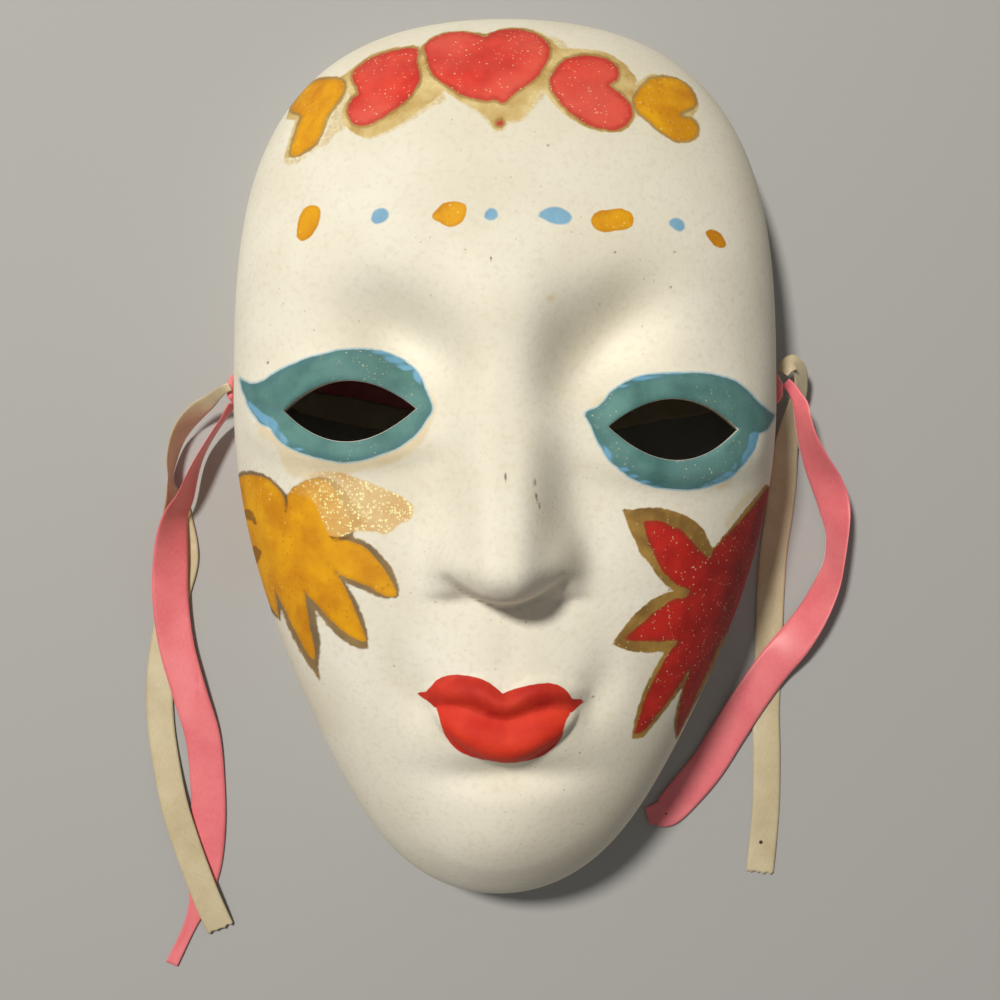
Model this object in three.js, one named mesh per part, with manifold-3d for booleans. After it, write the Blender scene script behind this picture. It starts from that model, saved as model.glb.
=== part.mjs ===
// A ceramic masquerade mask, slip-cast as one thin shell and lying on its flat rim, with a pink and a cream
// ribbon that cross its hollow back from temple to temple, are knotted at both holes and hang out at both sides.
// Millimetres. +X is the viewer's right, +Y the forehead, +Z out of the face, and z = 0 the plane of the rim.

import * as THREE from "three";
import { mergeVertices } from "three/addons/utils/BufferGeometryUtils.js";
import Module from "manifold-3d";

// The cast shell
const MASK_LENGTH = 223;
const MASK_WIDTH = 138.5;
const SHELL_DEPTH = 53; // from the rim to the middle of the face, without its features
const WALL = 4;

// The almond eye openings, cut by hand, so that the right one sits lower
const EYE_LENGTH = 31;
const EYE_ABOVE = 6.6; // from the line between its corners to its upper edge
const EYE_BELOW = 7.6;
const LEFT_EYE = { x: -0.5054 * (MASK_WIDTH / 2), y: 0.0834 * (MASK_LENGTH / 2) };
const RIGHT_EYE = { x: 0.5458 * (MASK_WIDTH / 2), y: 0.0468 * (MASK_LENGTH / 2) };

// The hole in each temple that the ribbons pass through
const HOLE_RADIUS = 2.5;
const HOLE_Y = 17.6;
const HOLE_Z = 9.5;

// The ribbons and their knots
const PINK_WIDTH = 9.2;
const CREAM_WIDTH = 7.2;
const RIBBON_THICKNESS = 0.8;
const KNOT_RADIUS = 3.4;
const KNOT_LENGTH = 3.4; // how far a knot stands out from the wall
const GAP = 0.4; // between pieces that touch

const HALF_LENGTH = MASK_LENGTH / 2;
const HALF_WIDTH = MASK_WIDTH / 2;
const WIDEST_AT = 0.14 * HALF_LENGTH;
const CHIN_SHIFT = -0.025 * HALF_WIDTH; // the chin is cast a little to the left
const EDGE_ROUNDING = 2.9; // the exponent of the shell's section: 2 is an ellipse, more is boxier
const FOREHEAD = { up: 3.2, across: 2.53 }; // the exponents of the outline over its widest place
const JAW = { taper: 0.103, low: 2.1 }; // how much slimmer than a half ellipse it is, and how far down
const SKIN = { columns: 42, rows: 66 };
const LINING = { columns: 20, rows: 32 };

const clamp = (value, low, high) => Math.min(high, Math.max(low, value));
const smooth = (low, high, value) => {
  const t = clamp((value - low) / (high - low), 0, 1);
  return t * t * (3 - 2 * t);
};

// The rim's outline: how far its middle line strays from x = 0, and its half width, at a height y on the face
function outlineMiddle(y) {
  const down = Math.max(0, (WIDEST_AT - y) / (WIDEST_AT + HALF_LENGTH));
  return CHIN_SHIFT * down * down;
}

function outlineHalfWidth(y, inset) {
  const top = HALF_LENGTH - inset;
  const half = HALF_WIDTH - inset;
  if (y > WIDEST_AT) {
    const up = clamp((y - WIDEST_AT) / (top - WIDEST_AT), 0, 1);
    return half * (1 - up ** FOREHEAD.up) ** (1 / FOREHEAD.across);
  }
  const down = clamp((WIDEST_AT - y) / (WIDEST_AT + top), 0, 1);
  return half * Math.sqrt(1 - down * down) * (1 - JAW.taper * Math.sin(Math.PI * down ** JAW.low));
}

// How far a point is from the middle of the face to the rim, from 0 to 1
function towardsRim(x, y) {
  const up = clamp(y / HALF_LENGTH, -1, 1);
  const half = outlineHalfWidth(y, 0);
  const across = half > 0 ? clamp((x - outlineMiddle(y)) / half, -1, 1) : 1;
  return Math.sqrt(1 - (1 - up * up) * (1 - across * across));
}

// The face's forms are sized by a half length and a half width of their own, a little more than the outline's
const FACE_LENGTH = 1.018 * HALF_LENGTH;
const FACE_WIDTH = 1.018 * HALF_WIDTH;

// The soft forms of the face. A mound's place and its size are shares of the face's half width and half length,
// its rise is a share of the depth, a turn is in degrees, and a paired mound stands on both sides.
const MOUNDS = [
  { form: "forehead", x: 0, y: 0.546, wide: 0.71, long: 0.3, rise: 0.038 },
  { form: "between the brows", x: 0, y: 0.317, wide: 0.255, long: 0.115, rise: 0.057 },
  { form: "brow", paired: true, x: 0.482, y: 0.352, wide: 0.284, long: 0.088, rise: 0.03 },
  { form: "inner socket", paired: true, x: 0.32, y: 0.21, wide: 0.23, long: 0.08, rise: -0.18, turn: 48 },
  { form: "cheek", paired: true, x: 0.482, y: -0.212, wide: 0.255, long: 0.194, rise: 0.038 },
  { form: "fold beside the mouth", paired: true, x: 0.319, y: -0.458, wide: 0.064, long: 0.07, rise: -0.028 },
  { form: "corner of the mouth", paired: true, x: 0.27, y: -0.497, wide: 0.05, long: 0.05, rise: -0.03 },
  { form: "mouth", x: 0, y: -0.511, wide: 0.369, long: 0.176, rise: 0.094 },
  { form: "groove over the lip", x: 0.007, y: -0.405, wide: 0.048, long: 0.048, rise: -0.013 },
  { form: "hollow under the lip", x: 0.009, y: -0.643, wide: 0.199, long: 0.035, rise: -0.074 },
  { form: "chin", x: -0.014, y: -0.793, wide: 0.27, long: 0.115, rise: 0.094 },
];

// A soft round mound of height 1, turned by an angle in degrees
function bell(dx, dy, wide, long, turn = 0) {
  const angle = THREE.MathUtils.degToRad(turn);
  const across = (dx * Math.cos(angle) + dy * Math.sin(angle)) / wide;
  const along = (dy * Math.cos(angle) - dx * Math.sin(angle)) / long;
  return Math.exp(-across * across - along * along);
}

// A quarter of a circle, from 0 at 0, where it is upright, to 1 at 1
const quarter = (value) => Math.sqrt(1 - (1 - clamp(value, 0, 1)) ** 2);

// The same, with its foot eased, for the undersides of the nose
const underside = (value) => quarter(value) * smooth(0, 0.35, value);

function moundsAt(x, y) {
  let rise = 0;
  for (const mound of MOUNDS) {
    for (const side of mound.paired ? [-1, 1] : [1]) {
      const dx = x - side * mound.x * FACE_WIDTH;
      const dy = y - mound.y * FACE_LENGTH;
      const size = [mound.wide * FACE_WIDTH, mound.long * FACE_LENGTH];
      rise += mound.rise * SHELL_DEPTH * bell(dx, dy, ...size, side * (mound.turn ?? 0));
    }
  }
  return rise;
}

// The nose: a ridge that rises from its root to its tip, with a rounded underside, a ball at the tip, and a
// wing on either side. Along its length its sizes are shares of the half length, across it of the half width.
const NOSE = {
  root: 0.44,
  tip: -0.22,
  rise: 0.362,
  bridge: 0.17,
  waist: 0.155,
  end: -0.306,
  endCurve: 0.03,
  below: 0.07,
};
const BALL = { y: -0.211, wide: 0.113, long: 0.066, rise: 0.03 };
const WING = { x: 0.179, y: -0.229, wide: 0.062, long: 0.07, rise: 0.1, end: -0.295, below: 0.05 };

function noseAt(x, y) {
  const [across, up] = [Math.abs(x) / FACE_WIDTH, y / FACE_LENGTH];
  const along = clamp((NOSE.root - up) / (NOSE.root - NOSE.tip), 0, 1);
  const crest = NOSE.rise * (0.12 * smooth(0, 0.3, along) + 0.88 * along ** 1.8);
  const half = NOSE.waist + (NOSE.bridge - NOSE.waist) * (1 - along) ** 2;
  const end = NOSE.end + NOSE.endCurve * Math.min(across / 0.135, 1.3) ** 2;
  const ridge = crest * Math.exp(-((across / half) ** 2.9));
  const ball = BALL.rise * bell(across, up - BALL.y, BALL.wide, BALL.long);
  const wing = WING.rise * bell(across - WING.x, up - WING.y, WING.wide, WING.long);
  const middle = (ridge + ball) * underside((up - end) / NOSE.below);
  return SHELL_DEPTH * (middle + wing * underside((up - WING.end) / WING.below));
}

// The lips: the upper one is bowed, the lower one full, and the seam between them dips in the middle. Heights
// are shares of the half length, widths of the half width, and the two rises of the depth.
const LIPS = { seam: -0.49, dip: 0.03, top: -0.4335, bow: 0.032, reach: 0.27, lowReach: 0.234, low: 0.101 };
const UPPER_LIP_RISE = 0.055;
const LOWER_LIP_RISE = 0.082;

function lipsAt(x, y) {
  const [across, up] = [x / FACE_WIDTH, y / FACE_LENGTH];
  const seam = LIPS.seam - LIPS.dip * Math.exp(-((across / 0.1) ** 2)) - 0.175 * across * across;
  const top = LIPS.top - LIPS.bow * Math.exp(-((across / 0.06) ** 2)) - 0.372 * across * across;
  const reach = clamp(1 - (across / LIPS.reach) ** 2, 0, 1);
  const lowReach = clamp(1 - (Math.abs(across) / LIPS.lowReach) ** 2.4, 0, 1);
  if (up > seam) {
    const share = clamp((top - up) / Math.max(top - seam, 0.004), 0, 1);
    return UPPER_LIP_RISE * SHELL_DEPTH * reach ** 0.8 * Math.sin(0.93 * Math.PI * share ** 0.75) ** 1.3;
  }
  const depth = Math.max(LIPS.low * lowReach ** 0.6, 0.004);
  const share = clamp((up - seam + depth) / depth, 0, 1);
  return LOWER_LIP_RISE * SHELL_DEPTH * lowReach ** 0.7 * Math.sin(0.94 * Math.PI * share ** 0.65) ** 1.2;
}

// The eyes: each ball bulges a little in its socket, and a rounded lid stands up round the opening
const EYE_BULGE = 0.075 * SHELL_DEPTH;
const LID_RISE = 0.027 * SHELL_DEPTH;

function eyeAt(x, y, eye) {
  const across = (x - eye.x) / (EYE_LENGTH / 2);
  const along = (y - eye.y) / ((EYE_ABOVE + EYE_BELOW) / 2);
  const out = Math.hypot(across, along);
  const bulge = EYE_BULGE * Math.exp(-0.35 * out * out);
  const lid = LID_RISE * Math.exp(-(((out - 1.5) / 0.4) ** 2));
  return bulge + lid;
}

// The height of the outer face over the rim's plane, at a place inside the outline
function faceHeight(x, y) {
  const out = towardsRim(x, y);
  const shell = SHELL_DEPTH * (1 - out ** EDGE_ROUNDING) ** (1 / EDGE_ROUNDING);
  const eyes = eyeAt(x, y, LEFT_EYE) + eyeAt(x, y, RIGHT_EYE);
  const features = moundsAt(x, y) + noseAt(x, y) + lipsAt(x, y) + eyes;
  return shell + features * (1 - smooth(0.86, 1, out));
}

// The height of the inner face, which lies a wall's thickness inside the outer one: a ball as big as the wall
// rolls under the outer face, and its lowest reach counts
function liningHeight(x, y) {
  let height = faceHeight(x, y) - WALL;
  for (const share of [0.35, 0.7, 0.92, 1]) {
    for (let step = 0; step < 16; step += 1) {
      const angle = (step / 16) * 2 * Math.PI;
      const nearX = x + WALL * share * Math.cos(angle);
      const nearY = y + WALL * share * Math.sin(angle);
      height = Math.min(height, faceHeight(nearX, nearY) - WALL * Math.sqrt(1 - share * share));
    }
  }
  return height;
}

// The rows of the skin are closer where the nose ends and the mouth begins, at this share of the half length
const FINE_ROWS = { at: -0.4, reach: 0.22, by: 0.08 };
const shiftedRow = (row) => row - FINE_ROWS.by * Math.tanh((row - FINE_ROWS.at) / FINE_ROWS.reach);

// A place inside the outline for a point of the square from -1 to 1. The square becomes a disc, the disc's
// radius follows a sine so that the steep side gets even steps, and its rows stretch to the outline.
function placeInOutline(column, row, inset) {
  const a = column * (0.86 + 0.14 * column * column);
  const [lowest, highest] = [shiftedRow(-1), shiftedRow(1)];
  const b = -1 + (2 * (shiftedRow(row) - lowest)) / (highest - lowest);
  const discX = a * Math.sqrt(1 - (b * b) / 2);
  const discY = b * Math.sqrt(1 - (a * a) / 2);
  const radius = Math.hypot(discX, discY);
  const stretch = radius > 0 ? Math.sin((Math.PI / 2) * Math.min(1, radius) ** 1.2) / radius : 0;
  const up = clamp(discY * stretch, -1, 1);
  const y = up * (HALF_LENGTH - inset);
  const rowHalf = Math.sqrt(Math.max(0, 1 - up * up));
  const across = rowHalf > 1e-6 ? clamp((discX * stretch) / rowHalf, -1, 1) : 0;
  return { x: outlineMiddle(y) + across * outlineHalfWidth(y, inset), y };
}

// A solid under a height function, down to a flat base: a grid of quads on top, a skirt and a fan below
function solidUnder(heightAt, { columns, rows }, inset, base) {
  const positions = [];
  const triangles = [];
  const rim = [];
  for (let row = 0; row <= rows; row += 1) {
    for (let column = 0; column <= columns; column += 1) {
      const { x, y } = placeInOutline((2 * column) / columns - 1, (2 * row) / rows - 1, inset);
      const onRim = row === 0 || row === rows || column === 0 || column === columns;
      positions.push(x, y, onRim ? 0 : Math.max(0.2, heightAt(x, y)));
    }
  }
  const at = (row, column) => row * (columns + 1) + column;
  for (let row = 0; row < rows; row += 1) {
    for (let column = 0; column < columns; column += 1) {
      const [a, b] = [at(row, column), at(row, column + 1)];
      const [c, d] = [at(row + 1, column + 1), at(row + 1, column)];
      const slopesUp = (row < rows / 2) === (column < columns / 2);
      triangles.push(...(slopesUp ? [a, b, d, b, c, d] : [a, b, c, a, c, d]));
    }
  }
  for (let column = 0; column < columns; column += 1) rim.push(at(0, column));
  for (let row = 0; row < rows; row += 1) rim.push(at(row, columns));
  for (let column = columns; column > 0; column -= 1) rim.push(at(rows, column));
  for (let row = rows; row > 0; row -= 1) rim.push(at(row, 0));
  const below = positions.length / 3;
  rim.forEach((index) => positions.push(positions[3 * index], positions[3 * index + 1], base));
  const middle = positions.length / 3;
  positions.push(0, 0, base);
  rim.forEach((index, i) => {
    const next = (i + 1) % rim.length;
    if (base < 0) triangles.push(index, below + i, rim[next], rim[next], below + i, below + next);
    triangles.push(below + i, middle, below + next);
  });
  return geometryOf(positions, triangles);
}

function geometryOf(positions, triangles) {
  const geometry = new THREE.BufferGeometry();
  geometry.setAttribute("position", new THREE.Float32BufferAttribute(positions, 3));
  geometry.setIndex(triangles);
  return geometry;
}

const wasm = await Module();
wasm.setup();

function toManifold(geometry) {
  const bare = geometry.clone();
  bare.deleteAttribute("normal");
  bare.deleteAttribute("uv");
  const merged = mergeVertices(bare, 1e-5);
  const vertProperties = new Float32Array(merged.attributes.position.array);
  const triVerts = new Uint32Array(merged.index.array);
  return new wasm.Manifold(new wasm.Mesh({ numProp: 3, vertProperties, triVerts }));
}

function fromManifold(solid) {
  const { vertProperties, triVerts, numProp } = solid.getMesh();
  const positions = [];
  for (let i = 0; i < vertProperties.length; i += numProp) positions.push(...vertProperties.slice(i, i + 3));
  const geometry = geometryOf(positions, [...triVerts]);
  geometry.computeVertexNormals();
  return geometry;
}

// The cutter of an eye: an almond of two bowed edges, pointed at both corners, as deep as the shell
function almondCutter(eye) {
  const almond = new THREE.Shape();
  almond.moveTo(-EYE_LENGTH / 2, 0);
  almond.quadraticCurveTo(0, -2 * EYE_BELOW, EYE_LENGTH / 2, 0);
  almond.quadraticCurveTo(0, 2 * EYE_ABOVE, -EYE_LENGTH / 2, 0);
  const cutter = new THREE.ExtrudeGeometry(almond, {
    depth: 2 * SHELL_DEPTH,
    bevelEnabled: false,
    curveSegments: 9,
  });
  return cutter.translate(eye.x, eye.y, 0);
}

// The drill of the ribbon holes: one cylinder through both temples
function holeDrill() {
  const drill = new THREE.CylinderGeometry(HOLE_RADIUS, HOLE_RADIUS, MASK_WIDTH + 4 * WALL, 16);
  return drill.rotateZ(Math.PI / 2).translate(0, HOLE_Y, HOLE_Z);
}

function maskShell() {
  const cast = toManifold(solidUnder(faceHeight, SKIN, 0, 0));
  const hollow = toManifold(solidUnder(liningHeight, LINING, WALL, -WALL));
  let shell = cast.subtract(hollow);
  for (const cutter of [almondCutter(LEFT_EYE), almondCutter(RIGHT_EYE), holeDrill()]) {
    shell = shell.subtract(toManifold(cutter));
  }
  return fromManifold(shell);
}

// How far out the wall is at the hole, from the middle of the mask, outside and inside
const WALL_OUTSIDE = outlineHalfWidth(HOLE_Y, 0);
const WALL_INSIDE = WALL_OUTSIDE - WALL - 0.05 * HALF_WIDTH;

// A knot: a flattened ball of ribbon outside the wall, on a neck that passes through the hole
const NECK_RADIUS = HOLE_RADIUS - GAP - 0.2;

function knot() {
  const start = WALL_INSIDE;
  const foot = WALL_OUTSIDE + GAP;
  const profile = [
    [0, start],
    [NECK_RADIUS, start],
    [NECK_RADIUS, foot],
    [0.85 * KNOT_RADIUS, foot + 0.06 * KNOT_LENGTH],
    [KNOT_RADIUS, foot + 0.35 * KNOT_LENGTH],
    [0.92 * KNOT_RADIUS, foot + 0.65 * KNOT_LENGTH],
    [0.5 * KNOT_RADIUS, foot + 0.93 * KNOT_LENGTH],
    [0, foot + KNOT_LENGTH],
  ];
  return new THREE.LatheGeometry(profile.map(([radius, out]) => new THREE.Vector2(radius, out)), 12);
}

// The ribbons' routes. Each stop of a tail gives how far it is out from the wall at its hole, how far along Y
// from the hole, how high its lowest edge lies, how far it is turned about its length in degrees, with the
// side that lies right of a ribbon running downwards turned up, and how much of its width it spreads there.
const LEFT_PINK = [
  [2.4, -4.6, 5.2, -30, 0.35],
  [4.5, -6.8, 4, -60, 0.6],
  [7.2, -10.8, 2.4, -68, 0.9],
  [10, -15.9, 1.4, -68, 1],
  [12.2, -21.1, 1.3, -65, 1],
  [14.5, -27.7, 1.3, -55, 1],
  [17.4, -33.8, 1.3, -45, 1],
  [18.9, -45, 1.3, -22, 1],
  [19.2, -55.2, 1.3, -12, 1],
  [17.8, -67.2, 1.3, -4, 1],
  [14.6, -79.2, 1.3, 0, 1],
  [11.2, -91.2, 0.6, 0, 1],
  [10, -103.3, 0.1, 0, 1],
  [9.8, -115.3, 0.1, 0, 1],
  [11, -126.1, 0.1, 0, 1],
  [12.1, -135.1, 0.1, 0, 0.6],
  [15, -142.7, 0.1, 0, 0.35],
  [19.5, -152.2, 0.1, 0, 0.35],
];
const LEFT_CREAM = [
  [4.9, -0.6, 8.4, -25, 0.3],
  [7, -2.6, 6.2, -30, 0.5],
  [11, -5.1, 4, -35, 0.9],
  [14.4, -8.5, 2.2, -45, 1],
  [16.9, -12.7, 1, -55, 1],
  [18.5, -17.9, 0.3, -70, 1],
  [18.9, -23.2, 0.1, -75, 1],
  [18, -28, 0.1, -40, 1],
  [17.6, -33.3, 0.1, -8, 1],
  [16.2, -40.5, 0.1, 0, 1],
  [16.2, -45.8, 0.1, 0, 1],
  [18.4, -53.9, 0.1, 0, 1],
  [21.4, -65.9, 0.1, 0, 1],
  [22.7, -77.9, 0.1, 0, 1],
  [22.4, -88.5, 0.1, 0, 1],
  [20.8, -99.2, 0.4, 0, 1],
  [18.4, -109.9, 1.2, 0, 1],
  [15, -120.6, 1.3, 0, 1],
  [11, -131.3, 1.4, 0, 1],
  [8.7, -136.9, 1.3, 0, 1],
  [6.4, -142.5, 0.6, 0, 1],
];
const RIGHT_PINK = [
  [4.9, 0.4, 9.4, 30, 0.3],
  [5.9, -1.8, 9.6, 40, 0.35],
  [6.9, -4.2, 9.2, 50, 0.5],
  [7.5, -7.3, 8, 55, 0.8],
  [9, -12.4, 6, 50, 1],
  [11.5, -17.8, 4, 40, 1],
  [15.1, -24.3, 2.5, 28, 1],
  [17.2, -29.9, 1.5, 45, 1],
  [17.9, -37.2, 0.8, 66, 1],
  [17.2, -44.3, 0.8, 70, 1],
  [15.4, -50.7, 0.8, 58, 1],
  [11.9, -58.2, 1, 45, 1],
  [7.5, -65.1, 1.3, 28, 1],
  [1.8, -72.7, 1.4, 5, 1],
  [-4, -81.1, 1.4, 0, 1],
  [-9.7, -90.3, 0.8, 0, 1],
  [-15.1, -99, 0.5, 0, 1],
  [-20.6, -105.7, 0.5, 0, 1],
  [-25.9, -111.3, 0.5, 0, 0.9],
  [-29.3, -112.3, 0.4, 0, 0.6],
  [-31.2, -112.8, 0.3, 0, 0.5],
];
const RIGHT_CREAM = [
  [2.4, 4.6, 9.4, -60, 0.35],
  [3.8, 6.2, 9.8, -50, 0.5],
  [5.8, 6.8, 9.4, -45, 0.6],
  [7.9, 4.6, 7.8, -50, 0.6],
  [8.7, 0.6, 5.6, -55, 0.6],
  [7.9, -3.8, 3.6, -40, 0.7],
  [6.8, -9, 2, -25, 0.8],
  [5.6, -15.2, 0.9, -10, 0.9],
  [5, -23.2, 0.1, 0, 1],
  [3.9, -32.5, 0.1, 0, 1],
  [2.5, -41.8, 0.1, 0, 1],
  [1.7, -52.5, 0.1, 0, 1],
  [1.3, -63.2, 0.1, 0, 1],
  [0.9, -73.8, 0.1, 0, 1],
  [0.4, -84.5, 0.1, 0, 1],
  [0.6, -96.5, 0.1, 0, 1],
  [0.5, -108.5, 0.1, 0, 1],
  [-0.2, -117.8, 0.1, 0, 1],
  [-1.2, -127.7, 0.1, 0, 1],
];

// Inside the shell each ribbon sags from neck to neck and lies on what the mask lies on. Here the first number
// is the share of the way from the middle to a neck.
const PINK_SPAN = [
  [-1, 1.7, 9.4, 0, 0.28],
  [-0.92, 2.5, 4.4, 0, 0.6],
  [-0.83, 3.5, 0.1, 0, 0.9],
  [-0.69, 2.3, 0.1, 0, 1],
  [-0.53, 0.3, 0.1, 0, 1],
  [-0.33, -2.1, 0.1, 0, 1],
  [0, -4, 0.1, 0, 1],
  [0.33, -1.2, 0.1, 0, 1],
  [0.65, 3, 0.1, 0, 1],
  [0.83, 4, 0.1, 0, 0.9],
  [0.92, 2.8, 4.4, 0, 0.6],
  [1, 1.7, 9.4, 0, 0.28],
];
const CREAM_SPAN = [
  [-1, -1.5, 10.4, 0, 0.3],
  [-0.92, -1.8, 6.4, 0, 0.6],
  [-0.83, -3.2, 1.8, 0, 0.9],
  [-0.69, -4.7, 1.3, 0, 1],
  [-0.53, -6.7, 1.3, 0, 1],
  [-0.33, -9.1, 1.3, 0, 1],
  [0, -11, 1.3, 0, 1],
  [0.33, -8.2, 1.3, 0, 1],
  [0.65, -4, 1.3, 0, 1],
  [0.83, -2.8, 1.8, 0, 0.9],
  [0.92, -1.6, 6.4, 0, 0.6],
  [1, -1.5, 10.4, 0, 0.3],
];

// The flat band's section, as shares of its half width and half thickness
const BAND_SECTION = [
  [1, 0.5],
  [0.9, 1],
  [-0.9, 1],
  [-1, 0.5],
  [-1, -0.5],
  [-0.9, -1],
  [0.9, -1],
  [1, -0.5],
];

// A ribbon: the band's section carried along its route, one ring to each stop, turned and spread as it says
function ribbon(stops, width, placeOf) {
  const rings = stops.map(([, , lift, turn, spread], index) => {
    const half = (width * spread) / 2;
    const lean = THREE.MathUtils.degToRad(turn);
    const rise = half * Math.abs(Math.sin(lean)) + (RIBBON_THICKNESS / 2) * Math.cos(lean);
    const { x, y } = placeOf(stops[index]);
    return { centre: new THREE.Vector3(x, y, lift + rise), half, lean };
  });
  const positions = [];
  const triangles = [];
  const sides = BAND_SECTION.length;
  rings.forEach(({ centre, half, lean }, index) => {
    const before = rings[Math.max(0, index - 1)].centre;
    const after = rings[Math.min(rings.length - 1, index + 1)].centre;
    const tangent = new THREE.Vector3().subVectors(after, before).normalize();
    const across = new THREE.Vector3(0, 0, 1).cross(tangent).normalize().applyAxisAngle(tangent, lean);
    const out = new THREE.Vector3().crossVectors(tangent, across);
    for (const [u, v] of BAND_SECTION) {
      const point = centre.clone().addScaledVector(across, u * half);
      point.addScaledVector(out, (v * RIBBON_THICKNESS) / 2);
      positions.push(point.x, point.y, point.z);
    }
  });
  for (let ring = 0; ring < rings.length - 1; ring += 1) {
    for (let side = 0; side < sides; side += 1) {
      const [a, b] = [ring * sides + side, ring * sides + ((side + 1) % sides)];
      triangles.push(a, b, a + sides, b, b + sides, a + sides);
    }
  }
  const last = (rings.length - 1) * sides;
  for (let side = 1; side < sides - 1; side += 1) {
    triangles.push(0, side + 1, side, last, last + side, last + side + 1);
  }
  return geometryOf(positions, triangles);
}

const onLeft = ([out, up]) => ({ x: -WALL_OUTSIDE - out, y: HOLE_Y + up });
const onRight = ([out, up]) => ({ x: WALL_OUTSIDE + out, y: HOLE_Y + up });
const inside = ([share, up]) => ({ x: share * (WALL_INSIDE - GAP), y: HOLE_Y + up });

const paintedBisque = new THREE.MeshStandardMaterial({ color: 0xece6d4, roughness: 0.75, metalness: 0 });
const pinkSatin = new THREE.MeshStandardMaterial({ color: 0xe15a69, roughness: 0.45, metalness: 0 });
const creamSatin = new THREE.MeshStandardMaterial({ color: 0xc8b48c, roughness: 0.5, metalness: 0 });

const masqueradeMask = new THREE.Group();

function add(name, geometry, material) {
  const mesh = new THREE.Mesh(geometry, material.clone());
  mesh.name = name;
  masqueradeMask.add(mesh);
  return mesh;
}

add("mask", maskShell(), paintedBisque);
for (const [name, turn] of [["left_knot", Math.PI / 2], ["right_knot", -Math.PI / 2]]) {
  const mesh = add(name, knot(), pinkSatin);
  mesh.position.set(0, HOLE_Y, HOLE_Z);
  mesh.rotation.z = turn;
}
add("left_pink_ribbon", ribbon(LEFT_PINK, PINK_WIDTH, onLeft), pinkSatin);
add("left_cream_ribbon", ribbon(LEFT_CREAM, CREAM_WIDTH, onLeft), creamSatin);
add("right_pink_ribbon", ribbon(RIGHT_PINK, PINK_WIDTH, onRight), pinkSatin);
add("right_cream_ribbon", ribbon(RIGHT_CREAM, CREAM_WIDTH, onRight), creamSatin);
add("inner_pink_ribbon", ribbon(PINK_SPAN, PINK_WIDTH, inside), pinkSatin);
add("inner_cream_ribbon", ribbon(CREAM_SPAN, CREAM_WIDTH, inside), creamSatin);

export default masqueradeMask;
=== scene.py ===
import bpy
import numpy as np
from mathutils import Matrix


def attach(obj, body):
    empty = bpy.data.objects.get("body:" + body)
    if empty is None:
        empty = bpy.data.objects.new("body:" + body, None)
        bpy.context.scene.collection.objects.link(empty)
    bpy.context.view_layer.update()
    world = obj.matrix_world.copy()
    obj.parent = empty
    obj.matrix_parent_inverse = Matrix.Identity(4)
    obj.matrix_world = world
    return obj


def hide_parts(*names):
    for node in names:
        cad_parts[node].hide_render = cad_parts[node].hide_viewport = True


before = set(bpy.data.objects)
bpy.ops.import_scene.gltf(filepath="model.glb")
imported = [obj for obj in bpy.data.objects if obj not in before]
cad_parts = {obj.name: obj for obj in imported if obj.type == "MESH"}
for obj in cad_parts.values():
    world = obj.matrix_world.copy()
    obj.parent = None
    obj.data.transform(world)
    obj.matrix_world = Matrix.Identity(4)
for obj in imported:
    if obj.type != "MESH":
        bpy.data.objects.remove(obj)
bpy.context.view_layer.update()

# The place: the mask lies face up on a plain pale floor, and the camera looks straight down on it from a bit
# over arm's length. One soft lamp stands at the upper left, high enough to model the nose and the brows, and
# an even sky fills the shadows.
EYE_HEIGHT = 0.310
EYE_OVER = (-0.00124, -0.0109)
SIGHT = 1161.0  # thousandths of the picture's width to one unit of slope from the camera
SENSOR = 36.0

camera_data = bpy.data.cameras.new("camera")
camera_data.sensor_width = SENSOR
camera_data.lens = SENSOR * SIGHT / 1000
camera_data.clip_start = 0.01
camera = bpy.data.objects.new("camera", camera_data)
camera.location = (*EYE_OVER, EYE_HEIGHT)
bpy.context.scene.collection.objects.link(camera)
bpy.context.scene.camera = camera
bpy.context.scene.view_settings.view_transform = "Standard"


def add_lamp(name, bearing, height, distance, size, watts, colour):
    """A round lamp that faces the mask. Its bearing from +X and its height over the floor are in degrees."""
    data = bpy.data.lights.new(name, "AREA")
    data.shape = "DISK"
    data.size = size
    data.energy = watts
    data.color = colour
    lamp = bpy.data.objects.new(name, data)
    round_z, up = np.radians(bearing), np.radians(height)
    away = np.array([np.cos(round_z) * np.cos(up), np.sin(round_z) * np.cos(up), np.sin(up)])
    lamp.location = away * distance
    lamp.rotation_euler = (np.pi / 2 - up, 0, round_z + np.pi / 2)
    bpy.context.scene.collection.objects.link(lamp)


add_lamp("window", bearing=134, height=61, distance=1.6, size=0.22, watts=22.5, colour=(1.0, 0.975, 0.91))
sky = bpy.data.worlds.new("sky")
sky.use_nodes = True
glow = sky.node_tree.nodes["Background"].inputs
glow["Color"].default_value = (1.0, 0.975, 0.93, 1)
glow["Strength"].default_value = 0.17
bpy.context.scene.world = sky

floor_mesh = bpy.data.meshes.new("floor")
reach = 2.5
corners = [(-reach, -reach, 0), (reach, -reach, 0), (reach, reach, 0), (-reach, reach, 0)]
floor_mesh.from_pydata(corners, [], [(0, 1, 2, 3)])
floor = bpy.data.objects.new("floor", floor_mesh)
floor.location.z = -0.0001
bpy.context.scene.collection.objects.link(floor)
floor_paint = bpy.data.materials.new("floor")
floor_paint.use_nodes = True
floor_shader = floor_paint.node_tree.nodes["Principled BSDF"].inputs
floor_shader["Base Color"].default_value = (0.42, 0.415, 0.405, 1)
floor_shader["Roughness"].default_value = 0.8
floor_mesh.materials.append(floor_paint)

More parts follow.
